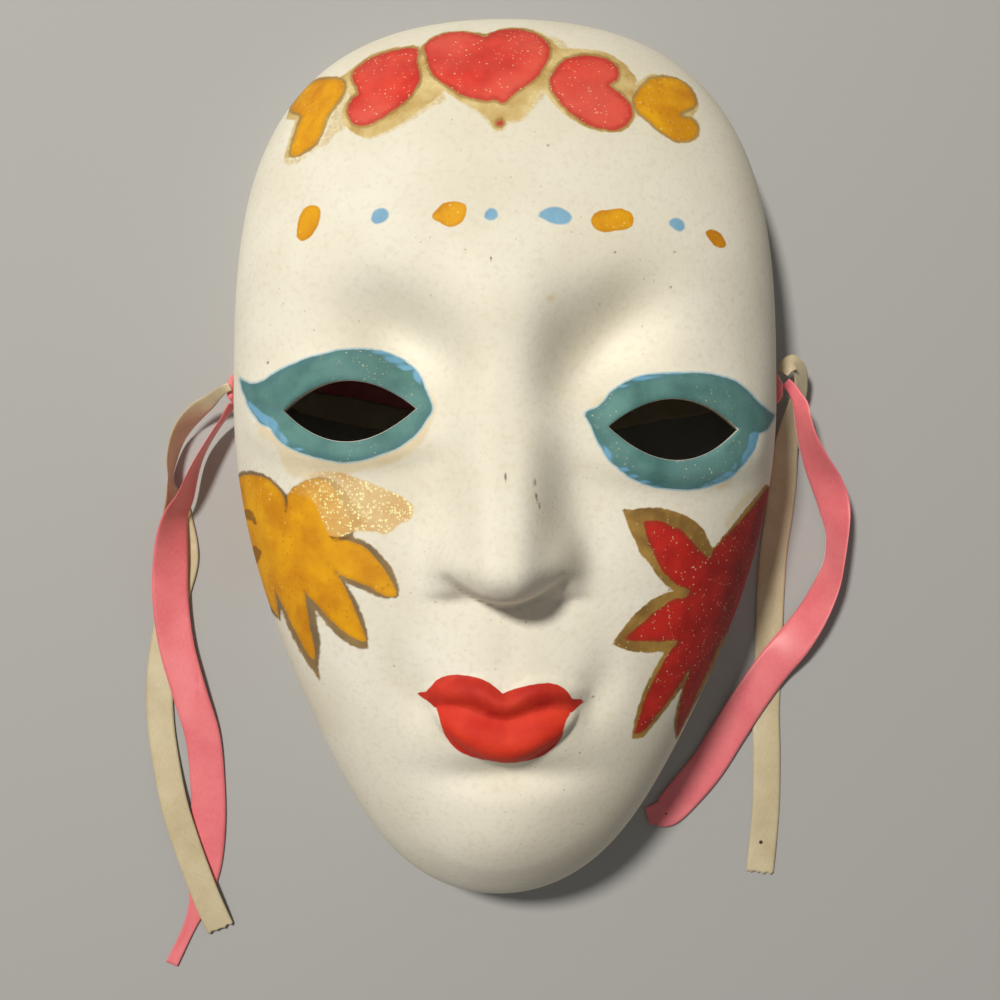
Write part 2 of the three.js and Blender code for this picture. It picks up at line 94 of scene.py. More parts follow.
# The pink ribbon: 3/8 inch satin, knotted through each temple hole with the cream one. Its two tails lie on
# the floor in loose curves, and one span crosses the hollow back. A stop of a route says how far out from
# the wall, how far along Y from the hole and how high it is, its turn in degrees and its share of the width.
HOLE_ALONG = 17.6
WALL_OUT = 69.25
SPAN_OUT = 61.39
BAND_THICKNESS = 0.35
BAND_STEPS = 14  # between two stops of a route
BAND_THREADS = 13  # across each side of a ribbon
FLAT_LIFT = 0.4  # of the middle of a ribbon that lies flat, over its lowest edge
LEAST_HEIGHT = 0.03
WAVE, SLOW_WAVE, EDGE_WAVE = 9, 23, 5  # lengths along a ribbon over which its flutter turns by a radian
CALM_ENDS = 10  # the length at each end over which the flutter dies away
FRAY_REACH = 0.9
PINK_WIDTH = 9.2


def spline(a, b, c, d, t):
    """The Catmull-Rom curve from b to c as t runs from 0 to 1, where a comes before them and d after."""
    square = (2 * a - 5 * b + 4 * c - d) * t**2
    cube = (3 * b - a - 3 * c + d) * t**3
    return 0.5 * (2 * b + (c - a) * t + square + cube)


def through(stops, steps):
    """A smooth line through the stops, with even steps between each pair."""
    stops = np.array(stops, float)
    ends = np.vstack([2 * stops[0] - stops[1], stops, 2 * stops[-1] - stops[-2]])
    t = np.linspace(0, 1, steps, endpoint=False)[:, None]
    runs = [spline(a, b, c, d, t) for a, b, c, d in zip(ends[:-3], ends[1:-2], ends[2:-1], ends[3:])]
    return np.vstack([*runs, stops[-1:]])


def unit(vectors):
    """Each vector divided by its length."""
    return vectors / np.maximum(np.linalg.norm(vectors, axis=-1, keepdims=True), 1e-12)


def new_mesh(name, points, faces, uv=None):
    """A piece of the mask at the origin, from its corners in millimetres and its faces."""
    mesh = bpy.data.meshes.new(name)
    mesh.from_pydata((np.asarray(points) * 0.001).tolist(), [], faces)
    mesh.shade_smooth()
    if uv is not None:
        layer = mesh.uv_layers.new(name="weave")
        corners = np.zeros(len(mesh.loops), int)
        mesh.loops.foreach_get("vertex_index", corners)
        layer.data.foreach_set("uv", np.asarray(uv, float)[corners].ravel())
    piece = bpy.data.objects.new(name, mesh)
    bpy.context.scene.collection.objects.link(piece)
    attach(piece, "root")
    return piece


def tube_faces(rings, sides):
    """The quads of a closed section of so many sides carried along rings, and its two end caps."""
    ring, side = np.meshgrid(np.arange(rings - 1), np.arange(sides), indexing="ij")
    a, b = ring * sides + side, ring * sides + (side + 1) % sides
    quads = np.stack([a, b, b + sides, a + sides], -1).reshape(-1, 4).tolist()
    half = sides // 2
    caps = []
    for start, turned in ((0, False), ((rings - 1) * sides, True)):
        for i in range(half - 1):
            cap = [start + i, start + sides - 1 - i, start + sides - 2 - i, start + i + 1]
            caps.append(cap[::-1] if turned else cap)
    return quads + caps


def band(name, node, stops, place, width, flutter, seed, fray):
    """A ribbon: a thin section carried along its route. At each place it is turned about its length, spread
    to its share of the width, and fluttered by slow waves along and across it. Its cut end frays by up to so
    many millimetres, a little more or less at each thread."""
    line = through(stops, BAND_STEPS)
    out, along, lift, turn, spread = line.T
    half = width * spread / 2
    lean = np.radians(turn)
    rise = half * np.abs(np.sin(lean)) + FLAT_LIFT * np.cos(lean)
    centre = np.stack([place(out), HOLE_ALONG + along, lift + rise], 1)
    tangent = unit(np.gradient(centre, axis=0))
    level = unit(np.cross([0.0, 0.0, 1.0], tangent))
    across = level * np.cos(lean)[:, None] + np.cross(tangent, level) * np.sin(lean)[:, None]
    face = np.cross(tangent, across)
    travelled = np.concatenate([[0], np.cumsum(np.linalg.norm(np.diff(centre, axis=0), axis=1))])
    s = np.concatenate([np.linspace(1, -1, BAND_THREADS), np.linspace(-1, 1, BAND_THREADS)])
    side = np.repeat([1.0, -1.0], BAND_THREADS)
    rounded = (1 - 0.75 * np.abs(s) ** 10) * side * BAND_THICKNESS / 2
    random = np.random.default_rng(seed)
    draws = random.uniform(0, 2 * np.pi, 4)
    threads = random.uniform(-fray, fray, BAND_THREADS)
    far, left_over = travelled[:, None], travelled[-1] - travelled
    wave = np.sin(far / WAVE + draws[0] + 1.3 * s) * np.sin(far / SLOW_WAVE + draws[1])
    wave += 0.4 * s * np.sin(far / EDGE_WAVE + draws[2])
    settle = np.clip(np.minimum(travelled, left_over) / CALM_ENDS, 0, 1)[:, None]
    offset = rounded + flutter * wave * settle
    near_end = np.clip(1 - left_over / FRAY_REACH, 0, 1)[:, None]
    loosened = near_end * np.concatenate([threads, threads[::-1]])
    points = centre[:, None] + across[:, None] * (half[:, None] * s)[..., None]
    points = points + face[:, None] * offset[..., None] + tangent[:, None] * loosened[..., None]
    points[..., 2] = np.maximum(points[..., 2], LEAST_HEIGHT)
    uv = np.stack(np.broadcast_arrays((s + 1) / 2 * width, far), -1).reshape(-1, 2)
    piece = new_mesh(name, points.reshape(-1, 3), tube_faces(len(line), 2 * BAND_THREADS), uv)
    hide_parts(node)
    return piece


def out_left(out):
    """Where a stop lies along X, from how far out it is from the wall on the left."""
    return -WALL_OUT - out


def out_right(out):
    """The same on the right."""
    return WALL_OUT + out


def across_back(share):
    """Where a stop of a span lies along X, from its share of the way from the middle to a hole."""
    return share * SPAN_OUT


left_pink_route = [
    (1.6, -3.4, 6.2, -60, 0.3),
    (4.1, -6.8, 4.0, -84, 0.45),
    (7.0, -10.8, 2.4, -92, 0.7),
    (10.0, -15.9, 1.4, -92, 0.9),
    (12.2, -21.1, 1.3, -86, 1),
    (14.5, -27.7, 1.3, -74, 1),
    (17.4, -33.8, 1.3, -58, 1),
    (18.9, -45.0, 1.3, -26, 1),
    (19.2, -55.2, 1.3, -12, 1),
    (17.8, -67.2, 1.3, -4, 1),
    (14.6, -79.2, 1.3, 0, 1),
    (11.2, -91.2, 0.6, 0, 1),
    (10.0, -103.3, 0.1, 0, 1),
    (9.8, -115.3, 0.1, 0, 1),
    (11.0, -126.1, 0.1, 0, 1),
    (12.1, -135.1, 0.1, 0, 0.6),
    (15.0, -142.7, 0.1, 0, 0.35),
    (19.5, -152.2, 0.1, 0, 0.35),
]
right_pink_route = [
    (3.2, 1.9, 9.7, 20, 0.28),
    (4.7, 0.4, 9.5, 30, 0.3),
    (5.9, -1.8, 9.6, 40, 0.35),
    (6.9, -4.2, 9.2, 50, 0.5),
    (7.5, -7.3, 8.0, 64, 0.65),
    (9.0, -12.4, 6.0, 66, 0.85),
    (11.5, -17.8, 4.0, 60, 1),
    (15.1, -24.3, 2.5, 44, 1),
    (17.2, -29.9, 1.5, 45, 1),
    (17.9, -37.2, 0.8, 66, 1),
    (17.2, -44.3, 0.8, 70, 1),
    (15.4, -50.7, 0.8, 58, 1),
    (11.9, -58.2, 1.0, 45, 1),
    (7.5, -65.1, 1.3, 28, 1),
    (1.8, -72.7, 1.4, 5, 1),
    (-4.0, -81.1, 1.4, 0, 1),
    (-9.7, -90.3, 0.8, 0, 1),
    (-15.1, -99.0, 0.5, 0, 1),
    (-20.6, -105.7, 0.5, 0, 1),
    (-25.9, -111.3, 0.5, 0, 0.9),
    (-29.3, -112.3, 0.4, 0, 0.6),
    (-31.2, -112.8, 0.3, 0, 0.5),
]
pink_span_route = [
    (-1.0, 1.7, 7.9, 0, 0.28),
    (-0.92, 2.5, 4.0, 0, 0.6),
    (-0.83, 3.5, 0.1, 0, 0.9),
    (-0.69, 2.3, 0.1, 0, 1),
    (-0.53, 0.3, 0.1, 0, 1),
    (-0.33, -2.1, 0.1, 0, 1),
    (0.0, -4.0, 0.1, 0, 1),
    (0.33, -1.2, 0.1, 0, 1),
    (0.65, 3.0, 0.1, 0, 1),
    (0.83, 4.0, 0.1, 0, 0.9),
    (0.92, 2.8, 4.0, 0, 0.6),
    (1.0, 1.7, 7.9, 0, 0.28),
]
pink = []
for name, node, route, place, flutter, seed, fray in (
    ("left_pink_tail", "left_pink_ribbon", left_pink_route, out_left, 0.12, 3, 0.15),
    ("right_pink_tail", "right_pink_ribbon", right_pink_route, out_right, 0.12, 5, 0.0),
    ("pink_span", "inner_pink_ribbon", pink_span_route, across_back, 0.1, 7, 0.0),
):
    pink.append(band(name, node, route, place, PINK_WIDTH, flutter, seed, fray))


def shader_of(name):
    """A new material, its node tree and its Principled shader."""
    material = bpy.data.materials.new(name)
    material.use_nodes = True
    tree = material.node_tree
    return material, tree, tree.nodes["Principled BSDF"]


def wire(tree, kind, inputs=(), **settings):
    """A node of that kind with its settings and its inputs, each a value or another node's output."""
    node = tree.nodes.new(kind)
    for key, value in settings.items():
        setattr(node, key, value)
    for key, value in dict(inputs).items():
        if isinstance(value, bpy.types.NodeSocket):
            tree.links.new(value, node.inputs[key])
        else:
            node.inputs[key].default_value = value
    return node


def sums(tree, operation, first, second, clamp=False):
    """One Math node's output."""
    node = wire(tree, "ShaderNodeMath", {0: first, 1: second}, operation=operation, use_clamp=clamp)
    return node.outputs[0]


def own_place(tree):
    """The place on the piece itself, in metres."""
    return wire(tree, "ShaderNodeTexCoord").outputs["Object"]


def noise(tree, place, scale, detail):
    """Noise between 0 and 1."""
    inputs = {"Vector": place, "Scale": scale, "Detail": detail}
    return wire(tree, "ShaderNodeTexNoise", inputs).outputs["Fac"]


def ranged(tree, value, low, high):
    """A value spread so that low becomes 0 and high becomes 1, and held between the two."""
    inputs = {"Value": value, "From Min": low, "From Max": high}
    return wire(tree, "ShaderNodeMapRange", inputs).outputs["Result"]


def blended(tree, share, under, over):
    """One colour over another, by a share from 0 to 1."""
    return wire(tree, "ShaderNodeMix", {0: share, 6: under, 7: over}, data_type="RGBA").outputs[2]


PINHOLE = (0.0006, 0.0004)  # the radii of a pin's hole where its rim starts and where it is fully dark
THREADS = (7.0, 0.7, 1.0)  # how much finer the ridges are across a ribbon than along it


def satin(name, light, dark, pinhole, sheen, roughness):
    """Satin weave: fine ridges along the ribbon, slow changes of shade, and a pin's hole near one end,
    painted as a near-black disc of shade.
    """
    material, tree, shader = shader_of(name)
    uv = wire(tree, "ShaderNodeUVMap", uv_map="weave").outputs["UV"]
    threads = wire(tree, "ShaderNodeMapping", {"Vector": uv, "Scale": THREADS}).outputs["Vector"]
    fine = noise(tree, threads, 1.0, 3.0)
    shade = ranged(tree, sums(tree, "ADD", fine, noise(tree, uv, 0.09, 2.0)), 0.7, 1.3)
    apart = {0: own_place(tree), 1: pinhole}
    away = wire(tree, "ShaderNodeVectorMath", apart, operation="DISTANCE").outputs["Value"]
    woven = blended(tree, shade, dark, light)
    # painted shade: the pin's hole is no opening, only a near-black disc painted on the weave
    painted_dark_pinhole = blended(tree, ranged(tree, away, *PINHOLE), woven, (0.05, 0.02, 0.02, 1))
    tree.links.new(painted_dark_pinhole, shader.inputs["Base Color"])
    shader.inputs["Roughness"].default_value = roughness
    shader.inputs["Sheen Weight"].default_value = sheen
    shader.inputs["Sheen Roughness"].default_value = 0.4
    shader.inputs["Anisotropic"].default_value = 0.6
    bump = wire(tree, "ShaderNodeBump", {"Height": fine, "Strength": 0.35, "Distance": 0.00008})
    tree.links.new(bump.outputs["Normal"], shader.inputs["Normal"])
    return material


pink_pinhole = (0.0430, -0.0944, 0.0006)
pink_satin = satin("pink_satin", (0.93, 0.25, 0.27, 1), (0.78, 0.15, 0.18, 1), pink_pinhole, 0.35, 0.42)
for piece in pink:
    piece.data.materials.append(pink_satin)

# The cream ribbon: satin of about 7 mm, stiffer and yellowed, tied in with the pink one. Its ends are cut
# square and have begun to fray.
CREAM_WIDTH = 7.2
left_cream_route = [
    (0.9, 0.5, 13.1, -5, 0.3),
    (2.6, -0.2, 12.5, -15, 0.32),
    (5.2, -1.4, 9.4, -25, 0.4),
    (7.6, -2.8, 6.6, -35, 0.55),
    (11.0, -5.1, 4.0, -52, 0.8),
    (14.4, -8.5, 2.2, -64, 0.95),
    (16.9, -12.7, 1.0, -76, 1),
    (18.5, -17.9, 0.3, -84, 1),
    (18.9, -23.2, 0.1, -92, 1),
    (18.0, -28.0, 0.1, -62, 1),
    (17.6, -33.3, 0.1, -14, 1),
    (16.2, -40.5, 0.1, 0, 1),
    (16.2, -45.8, 0.1, 0, 1),
    (18.4, -53.9, 0.1, 0, 1),
    (21.4, -65.9, 0.1, 0, 1),
    (22.7, -77.9, 0.1, 0, 1),
    (22.4, -88.5, 0.1, 0, 1),
    (20.8, -99.2, 0.4, 0, 1),
    (18.4, -109.9, 1.2, 0, 1),
    (15.0, -120.6, 1.3, 0, 1),
    (11.0, -131.3, 1.4, 0, 1),
    (8.7, -136.9, 1.3, 0, 1),
    (6.4, -142.5, 0.6, 0, 1),
]
right_cream_route = [
    (2.4, 4.2, 9.4, -50, 0.5),
    (3.4, 6.0, 9.8, -38, 0.65),
    (5.4, 6.8, 9.4, -30, 0.72),
    (7.2, 4.6, 7.8, -34, 0.76),
    (7.8, 0.6, 5.6, -40, 0.8),
    (7.1, -3.8, 3.6, -34, 0.85),
    (6.2, -9.0, 2.0, -22, 0.9),
    (5.4, -15.2, 0.9, -10, 0.95),
    (5.0, -23.2, 0.1, 0, 1),
    (3.9, -32.5, 0.1, 0, 1),
    (2.5, -41.8, 0.1, 0, 1),
    (1.7, -52.5, 0.1, 0, 1),
    (1.3, -63.2, 0.1, 0, 1),
    (0.9, -73.8, 0.1, 0, 1),
    (0.4, -84.5, 0.1, 0, 1),
    (0.6, -96.5, 0.1, 0, 1),
    (0.5, -108.5, 0.1, 0, 1),
    (-0.2, -117.8, 0.1, 0, 1),
    (-1.2, -127.7, 0.1, 0, 1),
]
cream_span_route = [
    (-1.0, -1.5, 8.9, 0, 0.3),
    (-0.92, -1.8, 5.6, 0, 0.6),
    (-0.83, -3.2, 1.8, 0, 0.9),
    (-0.69, -4.7, 1.3, 0, 1),
    (-0.53, -6.7, 1.3, 0, 1),
    (-0.33, -9.1, 1.3, 0, 1),
    (0.0, -11.0, 1.3, 0, 1),
    (0.33, -8.2, 1.3, 0, 1),
    (0.65, -4.0, 1.3, 0, 1),
    (0.83, -2.8, 1.8, 0, 0.9),
    (0.92, -1.6, 5.6, 0, 0.6),
    (1.0, -1.5, 8.9, 0, 0.3),
]
cream = []
for name, node, route, place, flutter, seed, fray in (
    ("left_cream_tail", "left_cream_ribbon", left_cream_route, out_left, 0.1, 11, 0.4),
    ("right_cream_tail", "right_cream_ribbon", right_cream_route, out_right, 0.1, 13, 0.4),
    ("cream_span", "inner_cream_ribbon", cream_span_route, across_back, 0.08, 17, 0.0),
):
    cream.append(band(name, node, route, place, CREAM_WIDTH, flutter, seed, fray))
cream_pinhole = (0.0683, -0.1021, 0.0006)
cream_satin = satin("cream_satin", (0.68, 0.58, 0.38, 1), (0.52, 0.42, 0.25, 1), cream_pinhole, 0.3, 0.45)
for piece in cream:
    piece.data.materials.append(cream_satin)

# The knots: at each hole both ribbons are drawn through together, crumpled to a cord, and tied once on the
# outside. A pink lump sits against the wall, and the tails start at it.
HOLE_UP = 9.5
KNOT_RINGS, KNOT_SIDES = 60, 48
NECK_RADIUS = 1.75
LUMP_RADIUS = 2.1
NECK_START, KNOT_FOOT, KNOT_TIP = WALL_OUT - 7.5, WALL_OUT + 0.2, WALL_OUT + 2.7
KNOT_WEAVE = (9, 20)  # the weave's extent round and along the bundle


def knot(name, node, side):
    """A bundle of pleats that runs out through the hole and swells into a knot: its radius follows the run,
    and the pleats are a wave round it that twists as it goes."""
    run = np.linspace(0, 1, KNOT_RINGS)[:, None]
    round_x = np.linspace(0, 2 * np.pi, KNOT_SIDES, endpoint=False)
    out = NECK_START + (KNOT_TIP - NECK_START) * run
    swell = np.clip((out - KNOT_FOOT) / (KNOT_TIP - KNOT_FOOT), 0, 1)
    lump = np.sqrt(np.clip(1 - (2 * swell - 1) ** 2, 0, 1))
    radius = np.where(out < KNOT_FOOT, NECK_RADIUS, NECK_RADIUS * (1 - swell) + 0.1 + LUMP_RADIUS * lump)
    radius = radius * np.clip(run * 12, 0.02, 1) ** 0.5 * np.clip((1 - run) * 30, 0.02, 1) ** 0.5
    pleats = 1 + 0.07 * np.sin(5 * round_x + 9 * run) + 0.05 * np.sin(9 * round_x - 14 * run)
    y = HOLE_ALONG + radius * pleats * np.cos(round_x) * (1 + 0.1 * lump)
    z = HOLE_UP + radius * pleats * np.sin(round_x)
    x = side * np.broadcast_to(out, y.shape)
    points = np.stack([x, y, z], -1).reshape(-1, 3)
    weave = np.broadcast_arrays(round_x / (2 * np.pi) * KNOT_WEAVE[0], run * KNOT_WEAVE[1])
    uv = np.stack(weave, -1).reshape(-1, 2)
    faces = tube_faces(KNOT_RINGS, KNOT_SIDES)
    if side < 0:
        faces = [face[::-1] for face in faces]
    piece = new_mesh(name, points, faces, uv)
    piece.data.materials.append(pink_satin)
    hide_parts(node)


knot("left_knot_bundle", "left_knot", -1)
knot("right_knot_bundle", "right_knot", 1)

# The cast shell: unglazed white ware, about 4 mm thick, with a flat ground rim. Its outer face is a height
# over the rim's plane, a soft oval dome with the forms of a quiet doll's face on it, and its inner face lies
# a wall's thickness inside that. Both eyes and both ribbon holes are cut by hand.
HALF_LENGTH = 111.5
HALF_WIDTH = 69.25
DEPTH = 53.0
WALL = 4.0
WIDEST_AT = 0.14 * HALF_LENGTH
CHIN_SHIFT = -0.025 * HALF_WIDTH
EDGE_ROUNDING = 2.9
FOREHEAD_UP, FOREHEAD_ACROSS = 3.2, 2.53
JAW_TAPER, JAW_LOW = 0.103, 2.1
FACE_LENGTH = 1.018 * HALF_LENGTH
FACE_WIDTH = 1.018 * HALF_WIDTH
EYES = ((-0.5054 * HALF_WIDTH, 0.0834 * HALF_LENGTH), (0.5458 * HALF_WIDTH, 0.0468 * HALF_LENGTH))
EYE_HALF = 15.5
EYE_ABOVE = 6.6
EYE_BELOW = 7.6
HOLE_RADIUS = 2.5
FEATURES_FADE = 0.86  # of the way to the rim, where the features begin to fade out


def smooth(low, high, value):
    """An even S from 0 to 1 between two values."""
    t = np.clip((value - low) / (high - low), 0, 1)
    return t * t * (3 - 2 * t)


def quarter(value):
    """A quarter of a circle, from 0 at 0, where it is upright, to 1 at 1."""
    return np.sqrt(1 - (1 - np.clip(value, 0, 1)) ** 2)


def underside(value):
    """The same with its foot eased, for the undersides of the nose."""
    return quarter(value) * smooth(0, 0.35, value)


def bell(dx, dy, wide, long, turn=0.0):
    """A soft round mound of height 1 that falls off as e to minus the square of the way from its middle,
    turned by an angle in degrees."""
    c, s = np.cos(np.radians(turn)), np.sin(np.radians(turn))
    return np.exp(-(((dx * c + dy * s) / wide) ** 2) - ((dy * c - dx * s) / long) ** 2)


def outline_middle(y):
    """How far the middle of the outline strays from x = 0: the chin is cast a little to the left."""
    return CHIN_SHIFT * np.maximum(0, (WIDEST_AT - y) / (WIDEST_AT + HALF_LENGTH)) ** 2


def outline_half_width(y, inset):
    """Half the outline's width: a superellipse over the widest place, a tapered half ellipse under it."""
    top = HALF_LENGTH - inset
    up = np.clip((y - WIDEST_AT) / (top - WIDEST_AT), 0, 1)
    down = np.clip((WIDEST_AT - y) / (WIDEST_AT + top), 0, 1)
    over = (1 - up**FOREHEAD_UP) ** (1 / FOREHEAD_ACROSS)
    under = np.sqrt(1 - down**2) * (1 - JAW_TAPER * np.sin(np.pi * down**JAW_LOW))
    return (HALF_WIDTH - inset) * np.where(y > WIDEST_AT, over, under)


def towards_rim(x, y):
    """How far a place is from the middle of the face to the rim, from 0 to 1."""
    up = np.clip(y / HALF_LENGTH, -1, 1)
    across = np.clip((x - outline_middle(y)) / np.maximum(outline_half_width(y, 0), 1e-9), -1, 1)
    return np.sqrt(1 - (1 - up**2) * (1 - across**2))


# x, y, width and length as shares of the face's half width and half length, rise as a share of the depth,
# and turn in degrees
MIDDLE_MOUNDS = {
    "forehead": (0, 0.546, 0.71, 0.3, 0.038, 0),
    "between the brows": (0, 0.317, 0.255, 0.115, 0.057, 0),
    "mouth": (0, -0.511, 0.369, 0.176, 0.094, 0),
    "groove over the lip": (0.007, -0.405, 0.048, 0.048, -0.013, 0),
    "hollow under the lip": (0.009, -0.643, 0.199, 0.035, -0.074, 0),
    "chin": (-0.014, -0.793, 0.27, 0.115, 0.094, 0),
}
PAIRED_MOUNDS = {
    "brow": (0.482, 0.352, 0.284, 0.088, 0.03, 0),
    "inner socket": (0.32, 0.21, 0.23, 0.08, -0.18, 48),
    "cheek": (0.482, -0.212, 0.255, 0.194, 0.038, 0),
    "fold beside the mouth": (0.319, -0.458, 0.064, 0.07, -0.028, 0),
    "corner of the mouth": (0.27, -0.497, 0.05, 0.05, -0.03, 0),
}


def mounds(x, y):
    """The sum of the soft forms, each paired one on both sides."""
    total = 0.0
    for forms, sides in ((MIDDLE_MOUNDS, (1,)), (PAIRED_MOUNDS, (-1, 1))):
        for u, v, wide, long, rise, turn in forms.values():
            for side in sides:
                dx, dy = x - side * u * FACE_WIDTH, y - v * FACE_LENGTH
                mound = bell(dx, dy, wide * FACE_WIDTH, long * FACE_LENGTH, side * turn)
                total = total + rise * DEPTH * mound
    return total


# the nose and the lips, in the same shares
NOSE_ROOT, NOSE_LONG, NOSE_RISE, NOSE_WAIST = 0.44, 0.66, 0.362, 0.155
NOSE_END, NOSE_BALL, NOSE_WING = -0.306, 0.03, 0.1
BALL_AT, BALL_WIDE, BALL_LONG = 0.211, 0.113, 0.066
WING_OUT, WING_AT, WING_WIDE, WING_LONG, WING_END = 0.179, 0.229, 0.062, 0.07, 0.295
SEAM_AT, SEAM_DIP, SEAM_BOW = -0.49, 0.03, 0.175
LIP_TOP, LIP_NOTCH, LIP_BOW = -0.4335, 0.032, 0.372
UPPER_RISE, LOWER_RISE, LOWER_TALL, THINNEST_LIP = 0.055, 0.082, 0.101, 0.004
UPPER_REACH, LOWER_REACH = 0.27, 0.234


def nose(x, y):
    """A ridge that rises from its root to its tip, a ball on the tip, and a wing on either side. The
    underside is a quarter of a circle that starts on a curve in plan."""
    across, up = np.abs(x) / FACE_WIDTH, y / FACE_LENGTH
    along = np.clip((NOSE_ROOT - up) / NOSE_LONG, 0, 1)
    crest = NOSE_RISE * (0.12 * smooth(0, 0.3, along) + 0.88 * along**1.8)
    half = NOSE_WAIST + 0.015 * (1 - along) ** 2
    end = NOSE_END + 0.03 * np.minimum(across / 0.135, 1.3) ** 2
    ridge = crest * np.exp(-((across / half) ** 2.9))
    ball = NOSE_BALL * bell(across, up + BALL_AT, BALL_WIDE, BALL_LONG)
    wing = NOSE_WING * bell(across - WING_OUT, up + WING_AT, WING_WIDE, WING_LONG)
    wing = wing * underside((up + WING_END) / 0.05)
    return DEPTH * ((ridge + ball) * underside((up - end) / 0.07) + wing)


def lips(x, y):
    """A bowed upper lip and a full lower one, on either side of a seam that dips in the middle. Each lip's
    section is half a sine wave across its own height."""
    across, up = x / FACE_WIDTH, y / FACE_LENGTH
    seam = SEAM_AT - SEAM_DIP * np.exp(-((across / 0.1) ** 2)) - SEAM_BOW * across**2
    top = LIP_TOP - LIP_NOTCH * np.exp(-((across / 0.06) ** 2)) - LIP_BOW * across**2
    reach = np.clip(1 - (across / UPPER_REACH) ** 2, 0, 1)
    low_reach = np.clip(1 - (np.abs(across) / LOWER_REACH) ** 2.4, 0, 1)
    share = np.clip((top - up) / np.maximum(top - seam, THINNEST_LIP), 0, 1)
    upper = UPPER_RISE * reach**0.8 * np.sin(0.93 * np.pi * share**0.75) ** 1.3
    depth = np.maximum(LOWER_TALL * low_reach**0.6, THINNEST_LIP)
    low_share = np.clip((up - seam + depth) / depth, 0, 1)
    lower = LOWER_RISE * low_reach**0.7 * np.sin(0.94 * np.pi * low_share**0.65) ** 1.2
    return DEPTH * np.where(up > seam, upper, lower)


EYEBALL_RISE, EYEBALL_FALL = 0.075, 0.35
LID_RISE, LID_OUT, LID_WIDE = 0.027, 1.5, 0.4


def eyeball(x, y, eye):
    """A ball that bulges in its socket, and a rounded lid that stands up round the opening."""
    across = (x - eye[0]) / EYE_HALF
    along = (y - eye[1]) / ((EYE_ABOVE + EYE_BELOW) / 2)
    out = np.hypot(across, along)
    ball = EYEBALL_RISE * np.exp(-EYEBALL_FALL * out**2)
    return DEPTH * (ball + LID_RISE * np.exp(-(((out - LID_OUT) / LID_WIDE) ** 2)))


def face_height(x, y):
    """The outer face over the rim's plane: the dome, and the features, which fade out before the rim."""
    out = towards_rim(x, y)
    dome = DEPTH * (1 - np.minimum(out, 1) ** EDGE_ROUNDING) ** (1 / EDGE_ROUNDING)
    forms = mounds(x, y) + nose(x, y) + lips(x, y) + eyeball(x, y, EYES[0]) + eyeball(x, y, EYES[1])
    return dome + forms * (1 - smooth(FEATURES_FADE, 1, out))


BALL_SHARES = (0.35, 0.7, 0.92, 1.0)  # how far from the ball's middle its reach is felt
BALL_BEARINGS = 16


def lining_height(x, y):
    """The inner face: a ball as big as the wall rolls under the outer face, and its lowest reach counts."""
    height = face_height(x, y) - WALL
    for share in BALL_SHARES:
        for angle in np.arange(BALL_BEARINGS) / BALL_BEARINGS * 2 * np.pi:
            near = face_height(x + WALL * share * np.cos(angle), y + WALL * share * np.sin(angle))
            height = np.minimum(height, near - WALL * np.sqrt(1 - share**2))
    return height


MIDDLE_POWER, SIDE_POWER = 1.2, 1.15  # how the grid's radius opens in the middle and closes up at the side


def place_in_outline(column, row, inset):
    """A place inside the outline for a point of the square from -1 to 1: the square becomes a disc, the
    disc's radius follows a sine and closes up toward the edge, so that the steep side gets even steps, and
    its rows stretch to the outline."""
    disc_x = column * np.sqrt(1 - row**2 / 2)
    disc_y = row * np.sqrt(1 - column**2 / 2)
    radius = np.hypot(disc_x, disc_y)
    outward = 1 - (1 - np.minimum(1, radius) ** MIDDLE_POWER) ** SIDE_POWER
    stretch = np.sin(np.pi / 2 * outward) / np.maximum(radius, 1e-9)
    up = np.clip(disc_y * stretch, -1, 1)
    y = up * (HALF_LENGTH - inset)
    row_half = np.sqrt(np.maximum(0, 1 - up**2))
    across = np.clip(disc_x * stretch / np.maximum(row_half, 1e-6), -1, 1)
    return outline_middle(y) + across * outline_half_width(y, inset), y


def almond(angle, eye):
    """The eye opening's edge where a ray at that angle from the eye's middle meets it: two parabolas that
    meet in both corners."""
    c, s = np.cos(angle), np.sin(angle)
    tall = np.where(s > 0, EYE_ABOVE, EYE_BELOW)
    a, b = tall * c**2 / EYE_HALF**2, np.abs(s)
    reach = 2 * tall / (b + np.sqrt(b**2 + 4 * a * tall))
    return eye[0] + reach * c, eye[1] + reach * s


COLUMNS, ROWS = 240, 336  # the outer face's cells
COARSE = 3  # how many of them make one cell of the inner face
SIDE_HEIGHT = 0.45  # where the steep side ends and the eased edge of the rim begins
EYE_FLATNESS = 0.46  # height over width, by which the rays of an eye's patch are spread
HALVINGS = 22
SAFE_OUT = 45.0  # along X, where a hole's height is surely inside the face


